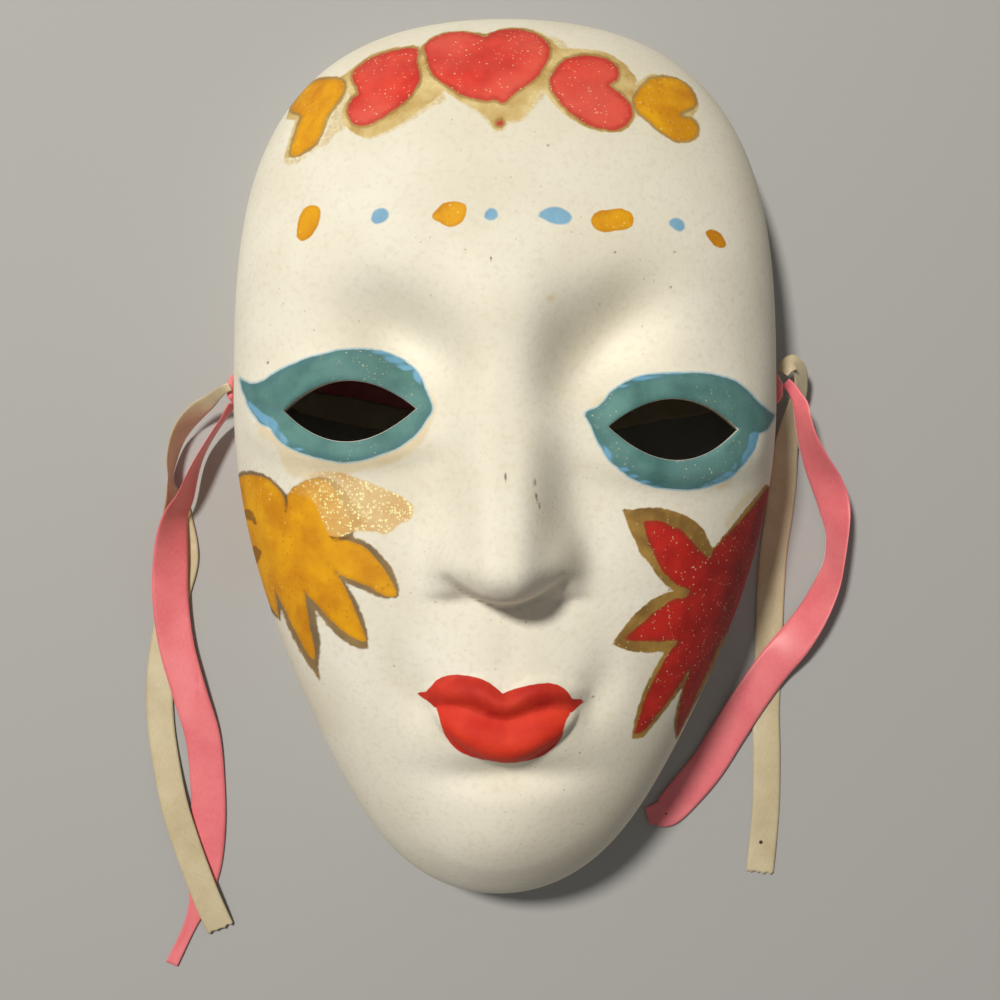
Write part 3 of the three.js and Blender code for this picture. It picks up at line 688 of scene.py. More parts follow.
def shell_side(height_at, inset, step, patch_rings):
    """One face of the shell: the grid of the square, with a patch of rings in place of the cells round each
    eye and ribbon hole. It returns the points, the quads, and the loops of the rim and of the openings."""
    columns, rows = COLUMNS // step, ROWS // step
    a, b = np.meshgrid(np.linspace(-1, 1, columns + 1), np.linspace(-1, 1, rows + 1))
    x, y = place_in_outline(a, b, inset)
    z = np.maximum(height_at(x, y), SIDE_HEIGHT)
    border = np.zeros(a.shape, bool)
    border[[0, -1]] = border[:, [0, -1]] = True
    z[border] = SIDE_HEIGHT
    points = [np.stack([x, y, z], -1).reshape(-1, 3)]
    index = np.arange(a.size).reshape(a.shape)
    quads = np.stack([index[:-1, :-1], index[:-1, 1:], index[1:, 1:], index[1:, :-1]], -1)
    kept = np.ones(quads.shape[:2], bool)
    rim = np.concatenate([index[0, :-1], index[:-1, -1], index[-1, :0:-1], index[:0:-1, 0]])
    made, loops, count = [], [], a.size
    for number, (low, high, left, right) in enumerate(OPENING_CELLS):
        low, high, left, right = (int(v) // step for v in (low, high, left, right))
        kept[low:high, left:right] = False
        ahead, up = index[low, left:right], index[low:high, right]
        back, down = index[high, right:left:-1], index[high:low:-1, left]
        loop = np.concatenate([ahead, up, back, down])
        edge = points[0][loop]
        rings = []
        if number < 2:
            eye = EYES[number]
            angle = np.arctan2((edge[:, 1] - eye[1]) / EYE_FLATNESS, edge[:, 0] - eye[0])
            angle = np.arctan2(np.sin(angle) * EYE_FLATNESS, np.cos(angle))
            for corner in (0.0, np.pi):
                gap = np.abs(np.angle(np.exp(1j * (angle - corner))))
                angle[gap.argmin()] = corner
            inner = np.stack(almond(angle, eye), 1)
            for share in np.linspace(0, 1, patch_rings + 1)[1:]:
                plan = edge[:, :2] * (1 - share) + inner * share
                rings.append(np.column_stack([plan, height_at(plan[:, 0], plan[:, 1])]))
        else:
            side = -1 if number == 2 else 1
            angle = np.arctan2(edge[:, 2] - HOLE_UP, edge[:, 1] - HOLE_ALONG)
            along, up = HOLE_RADIUS * np.cos(angle), HOLE_RADIUS * np.sin(angle)
            inner = np.stack([HOLE_ALONG + along, HOLE_UP + up], 1)
            for share in np.linspace(0, 1, patch_rings + 1)[1:]:
                yz = edge[:, 1:] * (1 - share) + inner * share
                near = np.full(len(yz), SAFE_OUT)
                far = np.full(len(yz), outline_half_width(HOLE_ALONG, inset) - 0.001)
                for _ in range(HALVINGS):
                    middle = (near + far) / 2
                    above = height_at(side * middle, yz[:, 0]) > yz[:, 1]
                    near, far = np.where(above, middle, near), np.where(above, far, middle)
                rings.append(np.column_stack([side * near, yz]))
        previous = loop
        for ring in rings:
            now = count + np.arange(len(ring))
            count += len(ring)
            points.append(ring)
            made.append(np.stack([previous, np.roll(previous, -1), np.roll(now, -1), now], -1))
            previous = now
        loops.append(previous)
    return np.vstack(points), np.vstack([quads[kept], *made]), rim, loops


def cells_round(inside, more):
    """The lowest and highest row and column of cells that hold a region and some more cells on every side,
    widened to whole coarse cells."""
    rows, columns = np.nonzero(inside)
    low, high = rows.min() - more, rows.max() + more + 1
    left, right = columns.min() - more, columns.max() + more + 1
    low, high = low // COARSE * COARSE, -(-high // COARSE) * COARSE
    left, right = left // COARSE * COARSE, -(-right // COARSE) * COARSE
    return low, high, left, right


grid_a, grid_b = np.meshgrid(np.linspace(-1, 1, COLUMNS + 1), np.linspace(-1, 1, ROWS + 1))
grid_x, grid_y = place_in_outline(grid_a, grid_b, 0)
grid_z = face_height(grid_x, grid_y)
EYE_MARGIN = 2.5
HOLE_BESIDE, HOLE_OVER = 4, 3.6  # half the region round a ribbon hole along Y and Z
OPENING_CELLS = []
for eye_x, eye_y in EYES:
    beside = np.abs(grid_x - eye_x) < EYE_HALF + EYE_MARGIN
    under = grid_y < eye_y + EYE_ABOVE + EYE_MARGIN
    over = grid_y > eye_y - EYE_BELOW - EYE_MARGIN
    OPENING_CELLS.append(cells_round(beside & under & over, 2))
for side in (-1, 1):
    beside = (grid_x * side > SAFE_OUT) & (np.abs(grid_y - HOLE_ALONG) < HOLE_BESIDE)
    OPENING_CELLS.append(cells_round(beside & (np.abs(grid_z - HOLE_UP) < HOLE_OVER), 0))
OUTER_RINGS, INNER_RINGS = 6, 3  # in the patch round each opening
outer, outer_quads, outer_rim, outer_loops = shell_side(face_height, 0, 1, OUTER_RINGS)
inner, inner_quads, inner_rim, inner_loops = shell_side(lining_height, WALL, COARSE, INNER_RINGS)


def loop_strip(fine, coarse):
    """The faces between a loop and another with a third as many corners."""
    ahead = np.roll(fine, -1)
    k = np.arange(len(fine))
    near = coarse[((k + 1) // COARSE) % len(coarse)]
    first = np.stack([ahead, fine, near], -1)
    j = np.arange(len(coarse))
    turn = fine[(j * COARSE + COARSE - 1) % len(fine)]
    second = np.stack([turn, coarse[j], coarse[(j + 1) % len(coarse)]], -1)
    return np.vstack([first, second])


def rim_loop(inset, up, step):
    """The rim's loop at some inset from the outline and some height, in the order of the grid's border."""
    a = np.linspace(-1, 1, COLUMNS // step + 1)
    b = np.linspace(-1, 1, ROWS // step + 1)
    low, high = np.full(len(a) - 1, -1.0), np.full(len(a) - 1, 1.0)
    left, right = np.full(len(b) - 1, -1.0), np.full(len(b) - 1, 1.0)
    column = np.concatenate([a[:-1], right, a[:0:-1], left])
    row = np.concatenate([low, b[:-1], high, b[:0:-1]])
    x, y = place_in_outline(column, row, inset)
    return np.column_stack([x, y, np.full(len(x), up)])


points = [outer, inner]
faces = [outer_quads.tolist(), (inner_quads[:, ::-1] + len(outer)).tolist()]


def add_ring(loop, ring, turned=False):
    """Joins a new ring of points to a loop with quads, and returns the ring's own loop."""
    now = sum(len(group) for group in points) + np.arange(len(ring))
    points.append(ring)
    quads = np.stack([loop, np.roll(loop, -1), np.roll(now, -1), now], -1)
    faces.append((quads[:, [0, 3, 2, 1]] if turned else quads).tolist())
    return now


EASED = 0.13  # how far in and up the middle of the rim's eased edge is
fine_rim, coarse_rim = outer_rim, inner_rim + len(outer)
for inset, up in ((EASED, EASED), (SIDE_HEIGHT, 0.0)):
    fine_rim = add_ring(fine_rim, rim_loop(inset, up, 1), turned=True)
for inset, up in ((EASED, EASED), (SIDE_HEIGHT, 0.0)):
    coarse_rim = add_ring(coarse_rim, rim_loop(WALL - inset, up, COARSE))
faces.append(loop_strip(fine_rim, coarse_rim).tolist())
CUT_EASE = 0.3  # how far the cut edge of an eye is eased
HOLE_EASE = 0.25
hole = np.array([0, HOLE_ALONG, HOLE_UP])
for number, (outside, inside) in enumerate(zip(outer_loops, inner_loops)):
    edge = outer[outside]
    if number < 2:
        toward = np.array([*EYES[number], 0.0])
        ring = edge + unit((toward - edge) * [1, 1, 0]) * CUT_EASE
        ring[:, 2] = edge[:, 2] - CUT_EASE
    else:
        ring = edge * [1, 0, 0] + hole + unit((edge - hole) * [0, 1, 1]) * (HOLE_RADIUS - HOLE_EASE)
        ring[:, 0] -= np.sign(edge[:, 0]) * HOLE_EASE
    cut = add_ring(outside, ring)
    faces.append(loop_strip(cut, inside + len(outer))[:, ::-1].tolist())
faces = [face for group in faces for face in group]
mask = new_mesh("mask_shell", np.vstack(points), faces)
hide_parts("mask")

# The paint: brushed on by hand over the bare bisque, each area bordered in gold or brown and then filled,
# and sprinkled with fine glitter while wet. Its outlines are closed smooth curves through places as they
# show from above, in thousandths of the picture's width. A place that is written twice is a corner.
PICTURE_MIDDLE = (504.5, 456.0)
FAR_OUTSIDE = -14.0
SIDE_BEARINGS, SIDE_STEPS = 721, 60  # the samples by which the widest line is found
STEEP_FROM = 0.9  # of the way to the rim, where the steep side begins
CURVE_STEPS = 8  # between two places of an outline


def seen_at(x, y, z):
    """Where a place shows from above, from the left and from the top of the picture."""
    scale = SIGHT / (1000 * EYE_HEIGHT - z)
    return np.stack([500 + (x - 1000 * EYE_OVER[0]) * scale, 500 - (y - 1000 * EYE_OVER[1]) * scale], -1)


def unrolled(x, y, z):
    """The same, but the steep side under the widest line as seen from above is laid out flat round it, so
    that the paint runs on down to the rim."""
    turn = np.linspace(-np.pi, np.pi, SIDE_BEARINGS)[:, None]
    share = 1 - np.linspace(0.4, 0, SIDE_STEPS) ** 2
    up = share * np.sin(turn)
    edge_y = up * HALF_LENGTH
    across = np.clip(share * np.cos(turn) / np.sqrt(np.maximum(1 - up**2, 1e-9)), -1, 1)
    edge_x = outline_middle(edge_y) + across * outline_half_width(edge_y, 0)
    edge_z = face_height(edge_x, edge_y)
    away = seen_at(edge_x, edge_y, edge_z) - PICTURE_MIDDLE
    widest = np.hypot(away[..., 0], away[..., 1]).argmax(1)
    row = np.arange(len(turn))
    away, height = away[row, widest], edge_z[row, widest]
    bearing = np.arctan2(away[:, 1], away[:, 0])
    order = np.argsort(bearing)
    seen = seen_at(x, y, z) - PICTURE_MIDDLE
    own = np.arctan2(seen[:, 1], seen[:, 0])
    limit = np.interp(own, bearing[order], np.hypot(away[:, 0], away[:, 1])[order], period=2 * np.pi)
    limit_z = np.interp(own, bearing[order], height[order], period=2 * np.pi)
    radius = np.hypot(seen[:, 0], seen[:, 1])
    below = (z < limit_z) & (towards_rim(x, y) > STEEP_FROM)
    reach = np.where(below, limit + (limit_z - z) * SIGHT / (1000 * EYE_HEIGHT - z), radius)
    return PICTURE_MIDDLE + seen * (reach / np.maximum(radius, 1e-9))[:, None]


def closed_curve(places):
    """A smooth curve through the places and back to the first."""
    here = np.array(places, float)
    before, after, beyond = np.roll(here, 1, 0), np.roll(here, -1, 0), np.roll(here, -2, 0)
    apart = np.any(here != after, axis=1)
    here, before, after, beyond = here[apart], before[apart], after[apart], beyond[apart]
    t = np.linspace(0, 1, CURVE_STEPS, endpoint=False)[:, None, None]
    return spline(before, here, after, beyond, t).transpose(1, 0, 2).reshape(-1, 2)


def inside_by(places, at):
    """How far each place lies inside a closed curve, or outside it where the number is negative."""
    start = closed_curve(places)
    step = np.roll(start, -1, 0) - start
    near = np.all((at > start.min(0) + FAR_OUTSIDE) & (at < start.max(0) - FAR_OUTSIDE), axis=1)
    away = at[near][:, None] - start
    share = np.clip((away * step).sum(-1) / np.maximum((step**2).sum(-1), 1e-12), 0, 1)
    distance = np.sqrt(((away - share[..., None] * step) ** 2).sum(-1)).min(1)
    crossed = (away[..., 1] < 0) != (away[..., 1] < step[:, 1])
    slope = np.where(np.abs(step[:, 1]) > 1e-12, step[:, 0] / np.where(step[:, 1] == 0, 1, step[:, 1]), 0)
    inside = (crossed & (away[..., 0] < away[..., 1] * slope)).sum(1) % 2 == 1
    result = np.full(len(at), FAR_OUTSIDE)
    result[near] = np.where(inside, distance, -distance)
    return result


skin = np.vstack([outer, *points[2:4]])
at = unrolled(*skin.T)
skin_index = np.concatenate([np.arange(len(outer)), len(outer) + len(inner) + np.arange(2 * len(outer_rim))])


def paint_on(name, *areas):
    """Stores on the mask how far inside the nearest of these painted areas each place of its face lies."""
    value = np.full(len(mask.data.vertices), FAR_OUTSIDE)
    value[skin_index] = np.max([inside_by(area, at) for area in areas], axis=0)
    mask.data.attributes.new(name, "FLOAT", "POINT").data.foreach_set("value", value.astype(np.float32))


HEART_FILLS = [
    # the large red one in the middle
    [(424, 46), (430, 40), (438, 35.5), (448, 33), (458, 32), (468, 32.5), (478, 34.5), (485, 37),
     (490, 34), (497, 31), (506, 29.5), (516, 29), (526, 30.5), (536, 34), (545, 40), (549, 46), (550, 53),
     (548, 60), (543, 68), (538, 76), (532, 82), (524, 87), (517, 92), (509, 99), (503, 103.5), (495, 100),
     (486, 101), (478, 99.5), (468, 97), (459, 94), (451, 88), (443, 83), (435, 77), (430, 70), (427.5, 62),
     (426, 54)],
    # the red one left of it, on its side
    [(356, 69), (366, 61), (376, 56), (390, 51.5), (404, 49), (415, 48), (418, 51), (417, 57), (417, 63),
     (419, 70), (420, 80), (417, 86), (413, 93), (407, 100), (400, 106), (390, 113), (380, 119), (371, 124),
     (362, 126), (354, 124), (349, 118), (347.5, 111), (349, 104), (353, 98), (358, 95), (358, 95),
     (357, 88), (354, 82), (352, 76)],
    # the red one right of it, on its side
    [(553, 73), (558, 66), (565, 60), (573, 57), (583, 55.5), (592, 55.5), (602, 57.5), (610, 61),
     (617, 67), (619, 74), (617, 80), (609, 85), (609, 85), (615, 90), (622, 95), (628, 101), (632, 109),
     (632, 116), (628, 123), (622, 128), (614, 130.5), (606, 130), (597, 128), (587, 124), (577, 118),
     (567, 110), (559, 101), (553, 93), (550, 85), (550, 79)],
    # the drop on the middle heart's tip
    [(497, 121), (501, 119.5), (503, 123), (500, 126.5), (497, 125)],
]
HEART_BORDERS = [
    [(419, 49), (430, 38.5), (440, 33.5), (452, 31), (466, 31), (478, 32.5), (485, 34), (492, 32),
     (500, 29), (512, 27.5), (525, 28.5), (538, 31.5), (548, 37), (556, 45), (561, 53), (556, 65),
     (549, 78), (543, 88), (537, 97), (530, 108), (521, 119), (510, 120), (505, 124), (501, 131),
     (501, 131), (494, 129), (489, 120), (479, 111), (468, 105), (455, 98), (445, 91), (436, 84), (428, 76),
     (424, 66), (422, 56)],
    [(341, 79), (350, 70), (359, 63), (369, 56), (380, 51), (392, 48), (405, 46), (416, 45.5), (423, 48),
     (429, 56), (432, 70), (438, 82), (442, 91), (434, 100), (424, 107), (410, 117), (396, 126), (384, 132),
     (374, 136), (365, 137.5), (356, 134), (348, 128), (343, 121), (342, 112), (345, 103), (350, 97),
     (347, 90)],
    [(556, 50), (570, 48.5), (585, 49), (600, 51), (612, 55.5), (622, 61.5), (630, 70), (636, 78),
     (635, 86), (635, 96), (636, 107), (635, 118), (630, 126), (621, 131.5), (610, 132.5), (598, 131),
     (586, 127), (574, 121), (562, 112), (553, 103), (546, 94), (543, 86), (547, 76), (552, 66), (554, 57)],
]
YELLOW_HEARTS = [
    [(291, 155), (300, 154), (310, 147), (317, 140), (322, 130), (326, 118), (333, 107), (341, 96),
     (344.5, 88), (343, 82), (335, 79), (322, 80), (312, 83), (303, 91), (297, 99), (293, 105), (291, 110),
     (298, 113), (302, 117), (302, 117), (298, 128), (294, 140)],
    [(634, 100), (637, 94), (641, 88), (646, 83), (652, 79), (660, 77.5), (670, 77.5), (680, 80.5),
     (687, 86), (692, 92), (695, 99), (694, 106), (688, 109), (683, 111), (678, 114.5), (678, 114.5),
     (684, 118), (690, 119), (696, 125), (697, 132), (694, 137), (688, 140), (681, 141), (673, 139),
     (665, 134), (657, 128), (648, 120), (640, 113), (635, 107)],
]
YELLOW_HEART_BORDERS = [
    [(284, 158), (284, 158), (295, 157.5), (304, 155), (313, 149), (320, 141), (325, 131), (329, 120),
     (335, 110), (343, 99), (347, 90), (346, 82), (340, 77), (330, 76), (320, 77.5), (312, 80), (304, 86),
     (296, 95), (290.5, 103), (289, 110), (286, 119), (286, 119), (295, 120.5), (295, 120.5), (292, 131),
     (288, 143)],
    [(632, 104), (632, 95), (636, 86), (642, 79), (650, 74.5), (660, 74.5), (672, 76), (682, 80), (690, 86),
     (695, 93), (698, 101), (698, 110), (693, 116), (698, 121), (700, 128), (699, 136), (693, 141.5),
     (684, 143), (674, 141.5), (664, 136), (654, 129), (644, 120), (636, 114)],
]
GOLD_SMEARS = [
    [(284, 159), (287, 165), (296, 163), (306, 157), (318, 149), (328, 143), (336, 134), (345, 128),
     (350, 120), (346, 108), (348, 98), (345, 94), (333, 112), (326, 131), (316, 147), (300, 157)],
    [(350, 131), (366, 138), (388, 133), (404, 124), (420, 115), (434, 106), (446, 100), (440, 90),
     (428, 92), (404, 115), (380, 130)],
    [(455, 98), (468, 107), (480, 114), (489, 124), (494, 130), (501, 132), (508, 124), (522, 121),
     (532, 110), (541, 100), (547, 88), (540, 84), (518, 105), (500, 115), (480, 105)],
    [(548, 36), (558, 38), (566, 44), (568, 50), (558, 51), (552, 44)],
]
YELLOW_DOTS = [
    [(309, 205.5), (317, 206), (321, 212), (319, 222), (315, 231), (309, 238), (302, 241), (297, 237),
     (297, 228), (299, 218), (303, 210)],
    [(431, 216), (437, 209), (444, 203), (452, 201.5), (460, 202), (466, 206), (466, 214), (463, 221),
     (456, 226), (448, 226.5), (440, 223), (435, 220)],
    [(591, 220), (595, 213), (603, 210), (612, 209.5), (620, 208), (625, 210), (631, 213), (634, 220),
     (631, 227), (624, 230), (614, 231), (605, 232.5), (597, 230), (593, 226)],
    [(706, 231), (712, 229.5), (719, 232), (724, 238), (726, 245), (722, 248.5), (715, 246), (710, 241),
     (707, 236)],
]
BLUE_DOTS = [
    [(371, 219), (374, 211), (381, 208), (387, 210), (389, 216), (385, 221), (378, 224), (373, 223)],
    [(484, 216), (487, 210), (492, 208), (497, 211), (498, 216), (494, 220), (488, 220)],
    [(536, 215), (536, 215), (543, 210), (551, 207), (560, 207.5), (567, 211), (572, 217), (570, 222),
     (563, 224.5), (553, 223.5), (545, 220)],
    [(668, 223), (672, 219), (677, 218), (682, 220), (685, 226), (683, 231), (678, 231), (673, 228)],
]
LIDS = [
    [(240, 378), (240, 378), (250, 383.5), (262, 381.5), (270, 376), (282, 369), (296, 363), (308, 358),
     (322, 354.5), (336, 351), (350, 349.5), (364, 349.5), (378, 351), (392, 355), (404, 361), (413, 368),
     (420, 377), (424, 386), (428, 396), (432, 405), (431, 413), (426, 420), (421, 428), (414, 436),
     (405, 443), (395, 449), (382, 454), (368, 458.5), (354, 461.5), (340, 462), (324, 459), (308, 455),
     (295, 450), (284, 444), (276, 436), (270, 427), (262, 424), (255, 416), (249, 407), (246, 398),
     (242, 389)],
    [(584, 414), (584, 414), (590, 410), (598, 407), (604, 401), (610, 393), (617, 388), (626, 382),
     (636, 378), (648, 375), (660, 374), (672, 373.5), (685, 373), (698, 373), (710, 374), (722, 377),
     (733, 380), (742, 386), (750, 393), (757, 401), (764, 407), (770, 412), (775, 415), (775, 415),
     (771, 423), (766, 430), (758, 433), (758, 433), (755, 446), (750, 455), (744, 463), (738, 470),
     (730, 477), (722, 481), (711, 485), (700, 488), (686, 489.5), (674, 489), (662, 488), (650, 485.5),
     (638, 481), (628, 476), (619, 468), (610, 461), (603, 450), (597, 440), (592, 428), (588, 420)],
]
PALE_EDGES = [
    [(366, 348), (378, 350), (392, 354), (404, 360), (413, 367), (421, 377), (424, 386), (418, 382),
     (408, 373.5), (398, 367), (388, 361), (376, 354)],
    [(246, 400), (250, 408), (256, 416), (264, 424), (271, 428), (277, 437), (285, 444), (297, 450),
     (308, 455), (300, 447), (289, 440), (280, 431), (276, 421), (264, 414), (255, 406)],
    [(612, 391), (622, 384), (634, 378), (648, 374.5), (664, 373), (684, 372.5), (666, 376), (650, 378.5),
     (637, 382), (624, 387)],
    [(597, 441), (604, 453), (612, 463), (623, 473), (636, 480.5), (648, 485.5), (664, 489), (650, 482),
     (636, 475), (625, 466), (615, 457), (606, 447)],
    [(758, 433), (754, 450), (744, 464), (731, 477), (716, 484), (698, 489), (714, 480), (728, 471),
     (740, 459), (748, 446), (750, 434)],
]
WASHES = [
    [(258, 423), (261, 437), (270, 440), (277, 449), (282, 463), (289, 475), (310, 479), (335, 478),
     (352, 473), (372, 468), (392, 464), (406, 456), (419, 446), (427, 434), (433, 420), (436, 410),
     (434, 397), (428, 392), (420, 400), (400, 440), (350, 458), (300, 450), (275, 432)],
    [(237, 373), (241, 378), (250, 381), (258, 381), (268, 377), (262, 384), (250, 386), (241, 384)],
    [(589, 408), (593, 402), (602, 396), (611, 390), (606, 398), (600, 406)],
    [(711, 487), (718, 484), (728, 480), (733, 480), (728, 486), (718, 489)],
    [(725, 523), (731, 514), (738, 503), (746, 495), (756, 489), (764, 484), (758, 492), (746, 505),
     (736, 518), (728, 530)],
    [(547, 297), (551, 294), (556, 297), (554, 301), (549, 302)],
]
YELLOW_FLOWER = [
    [(150, 500), (186, 486), (212, 480), (237, 478), (243, 475.5), (252, 475), (262, 477), (270, 481),
     (277, 488), (283, 496), (286, 507), (286, 507), (287, 497), (291, 490), (298, 485), (306, 481),
     (316, 479), (326, 481), (336, 492), (345, 508), (352, 524), (346, 533), (334, 540), (334, 540),
     (345, 540), (356, 543), (366, 548), (374, 556), (381, 565), (388, 575), (393, 584), (397, 593),
     (394, 597), (386, 596), (378, 592), (370, 587), (360, 583), (350, 579), (341, 575), (334, 569),
     (329, 563), (329, 563), (336, 573), (343, 584), (349, 596), (354, 607), (358, 618), (362, 628),
     (365, 636), (366, 643), (366, 643), (360, 641), (352, 637), (343, 631), (334, 623), (326, 615),
     (319, 607), (311, 599), (304, 591), (304, 591), (306, 603), (308, 615), (310, 628), (313, 640),
     (315, 652), (314, 661), (314, 661), (308, 654), (302, 644), (296, 633), (290, 621), (285, 610),
     (279, 598), (275, 590), (275, 590), (277, 604), (279, 618), (279, 618), (270, 606), (262, 596),
     (250, 612), (247, 640), (247, 640), (232, 628), (222, 606), (190, 606), (150, 580)],
]
YELLOW_FLOWER_BORDER = [
    [(150, 494), (186, 480), (212, 474), (235, 474), (242, 471), (250, 470.5), (260, 472), (269, 476),
     (276, 481), (282, 488), (287, 494), (290, 489), (297, 484), (306, 480), (318, 477), (330, 478),
     (342, 486), (352, 500), (362, 520), (354, 535), (362, 539), (372, 545), (382, 555), (391, 566),
     (397, 578), (400, 588), (398, 598), (388, 599), (379, 598), (370, 594), (360, 589), (350, 585),
     (345, 582), (345, 582), (352, 592), (358, 603), (362, 613), (366, 624), (368, 634), (368.5, 650),
     (368.5, 650), (359, 649), (350, 645), (340, 639), (331, 630), (322, 620), (316, 611), (316, 611),
     (318, 622), (320, 635), (321, 647), (320, 657), (319, 666), (321, 683), (321, 683), (316, 677),
     (310, 668), (303, 657), (296, 645), (290, 633), (285, 622), (281.5, 611), (281.5, 611), (281, 622),
     (281, 622), (270, 612), (262, 602), (254, 616), (250, 648), (250, 648), (228, 634), (218, 612),
     (186, 612), (150, 590)],
]
BROWN_SPOTS = [
    [(246, 509), (251, 511), (255, 517), (256, 526), (252, 522), (247, 519), (243, 514)],
    [(255, 545), (259, 549), (262, 552), (259, 560), (256, 564), (254, 556), (251, 550)],
    [(285, 494), (288, 499), (287.5, 508), (286, 514), (284.5, 506)],
    [(326, 533), (336, 536.5), (348, 536.5), (354, 537.5), (344, 540), (334, 541)],
]
PALE_PETAL = [
    [(288, 491), (298, 482), (308, 475), (320, 472), (335, 472), (350, 475.5), (365, 481), (380, 487),
     (395, 493), (406, 499), (413, 506), (412, 517), (407, 521), (400, 524), (392, 531), (384, 535),
     (378, 532), (362, 531), (350, 533), (340, 537), (328, 534), (322, 520), (312, 500)],
]
RED_FLOWER = [
    [(642, 521), (642, 521), (652, 520.5), (662, 522), (672, 526), (682, 531), (690, 539), (698, 548),
     (706, 556), (709, 557), (716, 547), (724, 538), (732, 530), (740, 521), (748, 512), (755, 503),
     (762, 495), (768, 487), (768, 487), (778, 492), (790, 505), (795, 530), (790, 560), (775, 590),
     (745, 622), (728, 632), (719, 645), (713, 660), (706, 675), (699, 690), (692, 706), (684, 722),
     (676, 738), (676, 738), (677, 722), (679, 708), (682, 694), (686, 680), (690, 668), (690, 668),
     (683, 680), (675, 692), (666, 704), (658, 714), (650, 724), (642, 732), (634, 735), (634, 735),
     (637, 723), (641, 710), (646, 696), (652, 684), (658, 672), (664, 661), (670, 651), (678, 642),
     (668, 641), (656, 641.5), (645, 641), (634, 641), (622, 638.5), (622, 638.5), (632, 631), (642, 623),
     (652, 614), (660, 608), (668, 602), (676, 598), (684, 598), (690, 592), (684, 588), (676, 585),
     (668, 577), (661, 569), (657, 560), (652, 550), (648, 540), (645, 530)],
]
RED_FLOWER_BORDER = [
    [(621, 508), (621, 508), (632, 509.5), (645, 508), (660, 508), (674, 511), (686, 516), (697, 523),
     (705, 532), (709, 541), (713, 549), (713, 549), (720, 540), (728, 531), (736, 521), (744, 511),
     (752, 501), (759, 493), (765, 485), (770, 486), (782, 490), (800, 500), (805, 530), (800, 565),
     (780, 600), (748, 630), (730, 640), (722, 650), (715, 665), (706, 682), (699, 697), (690, 714),
     (676, 741), (676, 741), (674, 722), (677, 706), (681, 692), (684, 684), (684, 684), (676, 696),
     (667, 708), (659, 718), (652, 727), (643, 737), (632, 739), (632, 739), (634, 722), (638, 708),
     (643, 693), (650, 678), (657, 664), (664, 652), (654, 652.5), (642, 652.5), (630, 651), (620, 648),
     (612, 643.5), (612, 643.5), (620, 632), (628, 622), (636, 613), (646, 604), (656, 597), (666, 593),
     (674, 591), (667, 586), (660, 579), (654, 571), (647, 561), (640, 553), (636, 543), (630, 531),
     (626, 519)],
]
UPPER_LIP = [
    [(416, 694.5), (416, 694.5), (420, 692), (426, 691.5), (431, 686), (438, 679), (446, 676), (454, 674.5),
     (462, 675), (472, 676.5), (480, 678.5), (488, 682), (494, 686), (499, 690), (502.5, 694), (502.5, 694),
     (507, 691.5), (514, 689), (522, 687), (530, 685), (540, 683.5), (548, 683), (556, 684.5), (562, 687),
     (567, 691), (570, 695), (573, 699), (580, 699), (586, 699.5), (595, 696), (595, 696), (589, 700.5),
     (583, 703), (577, 708), (571, 713), (560, 712), (548, 711.5), (538, 713.5), (528, 717), (517, 720.5),
     (506, 722), (496, 721), (486, 719), (476, 715.5), (466, 711), (456, 708.5), (446, 707.5), (436, 708),
     (430, 703), (424, 699)],
]
LOWER_LIP = [
    [(436, 706), (446, 705), (456, 706), (466, 709), (476, 713.5), (486, 717), (496, 719.5), (506, 720),
     (517, 718.5), (528, 715), (538, 711.5), (548, 709), (560, 710), (571, 711), (567, 719), (564, 728),
     (562, 737), (557, 744), (551, 750), (544, 755), (536, 758.5), (526, 761), (514, 763), (504, 763),
     (494, 761.5), (482, 759.5), (472, 757), (462, 753), (454, 747), (448, 740), (443, 731), (440, 721),
     (438, 713)],
]
# thin dark grey marks: scratches on the ware, and a thin line at the right corner of the mouth
DARK_MARKS = [
    [(534, 476), (536, 482), (535, 490), (538, 498), (541, 508), (543, 514), (540, 509), (536, 499),
     (533, 490)],
    # the thin dark line at the right corner of the mouth, along the upper lip's tail
    [(586, 699), (591, 698), (596, 695), (592, 699.5), (588, 701)],
    [(489, 253), (492, 258), (494, 265), (496, 269), (492, 266), (490, 259)],
    [(612, 249), (615, 250), (617, 253), (614, 252)],
    [(672, 250), (675, 252), (679, 254), (675, 254)],
    [(667, 283), (671, 286), (674, 291), (670, 289)],
    [(505, 471), (507, 476), (506, 484), (504.5, 477)],
]
paint_on("heart_red", *HEART_FILLS)
paint_on("gold_border", *HEART_BORDERS, *YELLOW_HEART_BORDERS, *RED_FLOWER_BORDER)
paint_on("gold_smear", *GOLD_SMEARS)
paint_on("yellow", *YELLOW_HEARTS, *YELLOW_DOTS, *YELLOW_FLOWER)
paint_on("brown_border", *YELLOW_FLOWER_BORDER)
paint_on("brown_spot", *BROWN_SPOTS)
paint_on("pale_petal", *PALE_PETAL)
paint_on("flower_red", *RED_FLOWER)
paint_on("sky_blue", *BLUE_DOTS, *PALE_EDGES)
paint_on("teal", *LIDS)
paint_on("wash", *WASHES)
paint_on("upper_lip", *UPPER_LIP)
paint_on("lower_lip", *LOWER_LIP)
paint_on("dark_mark", *DARK_MARKS)


def tint(red, green, blue):
    """A colour as seen, from 0 to 255, as the light it gives back."""
    return (*((np.array([red, green, blue]) / 255) ** 2.2).tolist(), 1)


def new_group(name, inputs):
    """An empty node group that takes these numbers and gives a mask, and its two ends."""
    group = bpy.data.node_groups.new(name, "ShaderNodeTree")
    number = "NodeSocketFloat"
    for label, value in inputs.items():
        group.interface.new_socket(label, in_out="INPUT", socket_type=number).default_value = value
    group.interface.new_socket("Mask", in_out="OUTPUT", socket_type=number)
    return group, group.nodes.new("NodeGroupInput").outputs, group.nodes.new("NodeGroupOutput").inputs


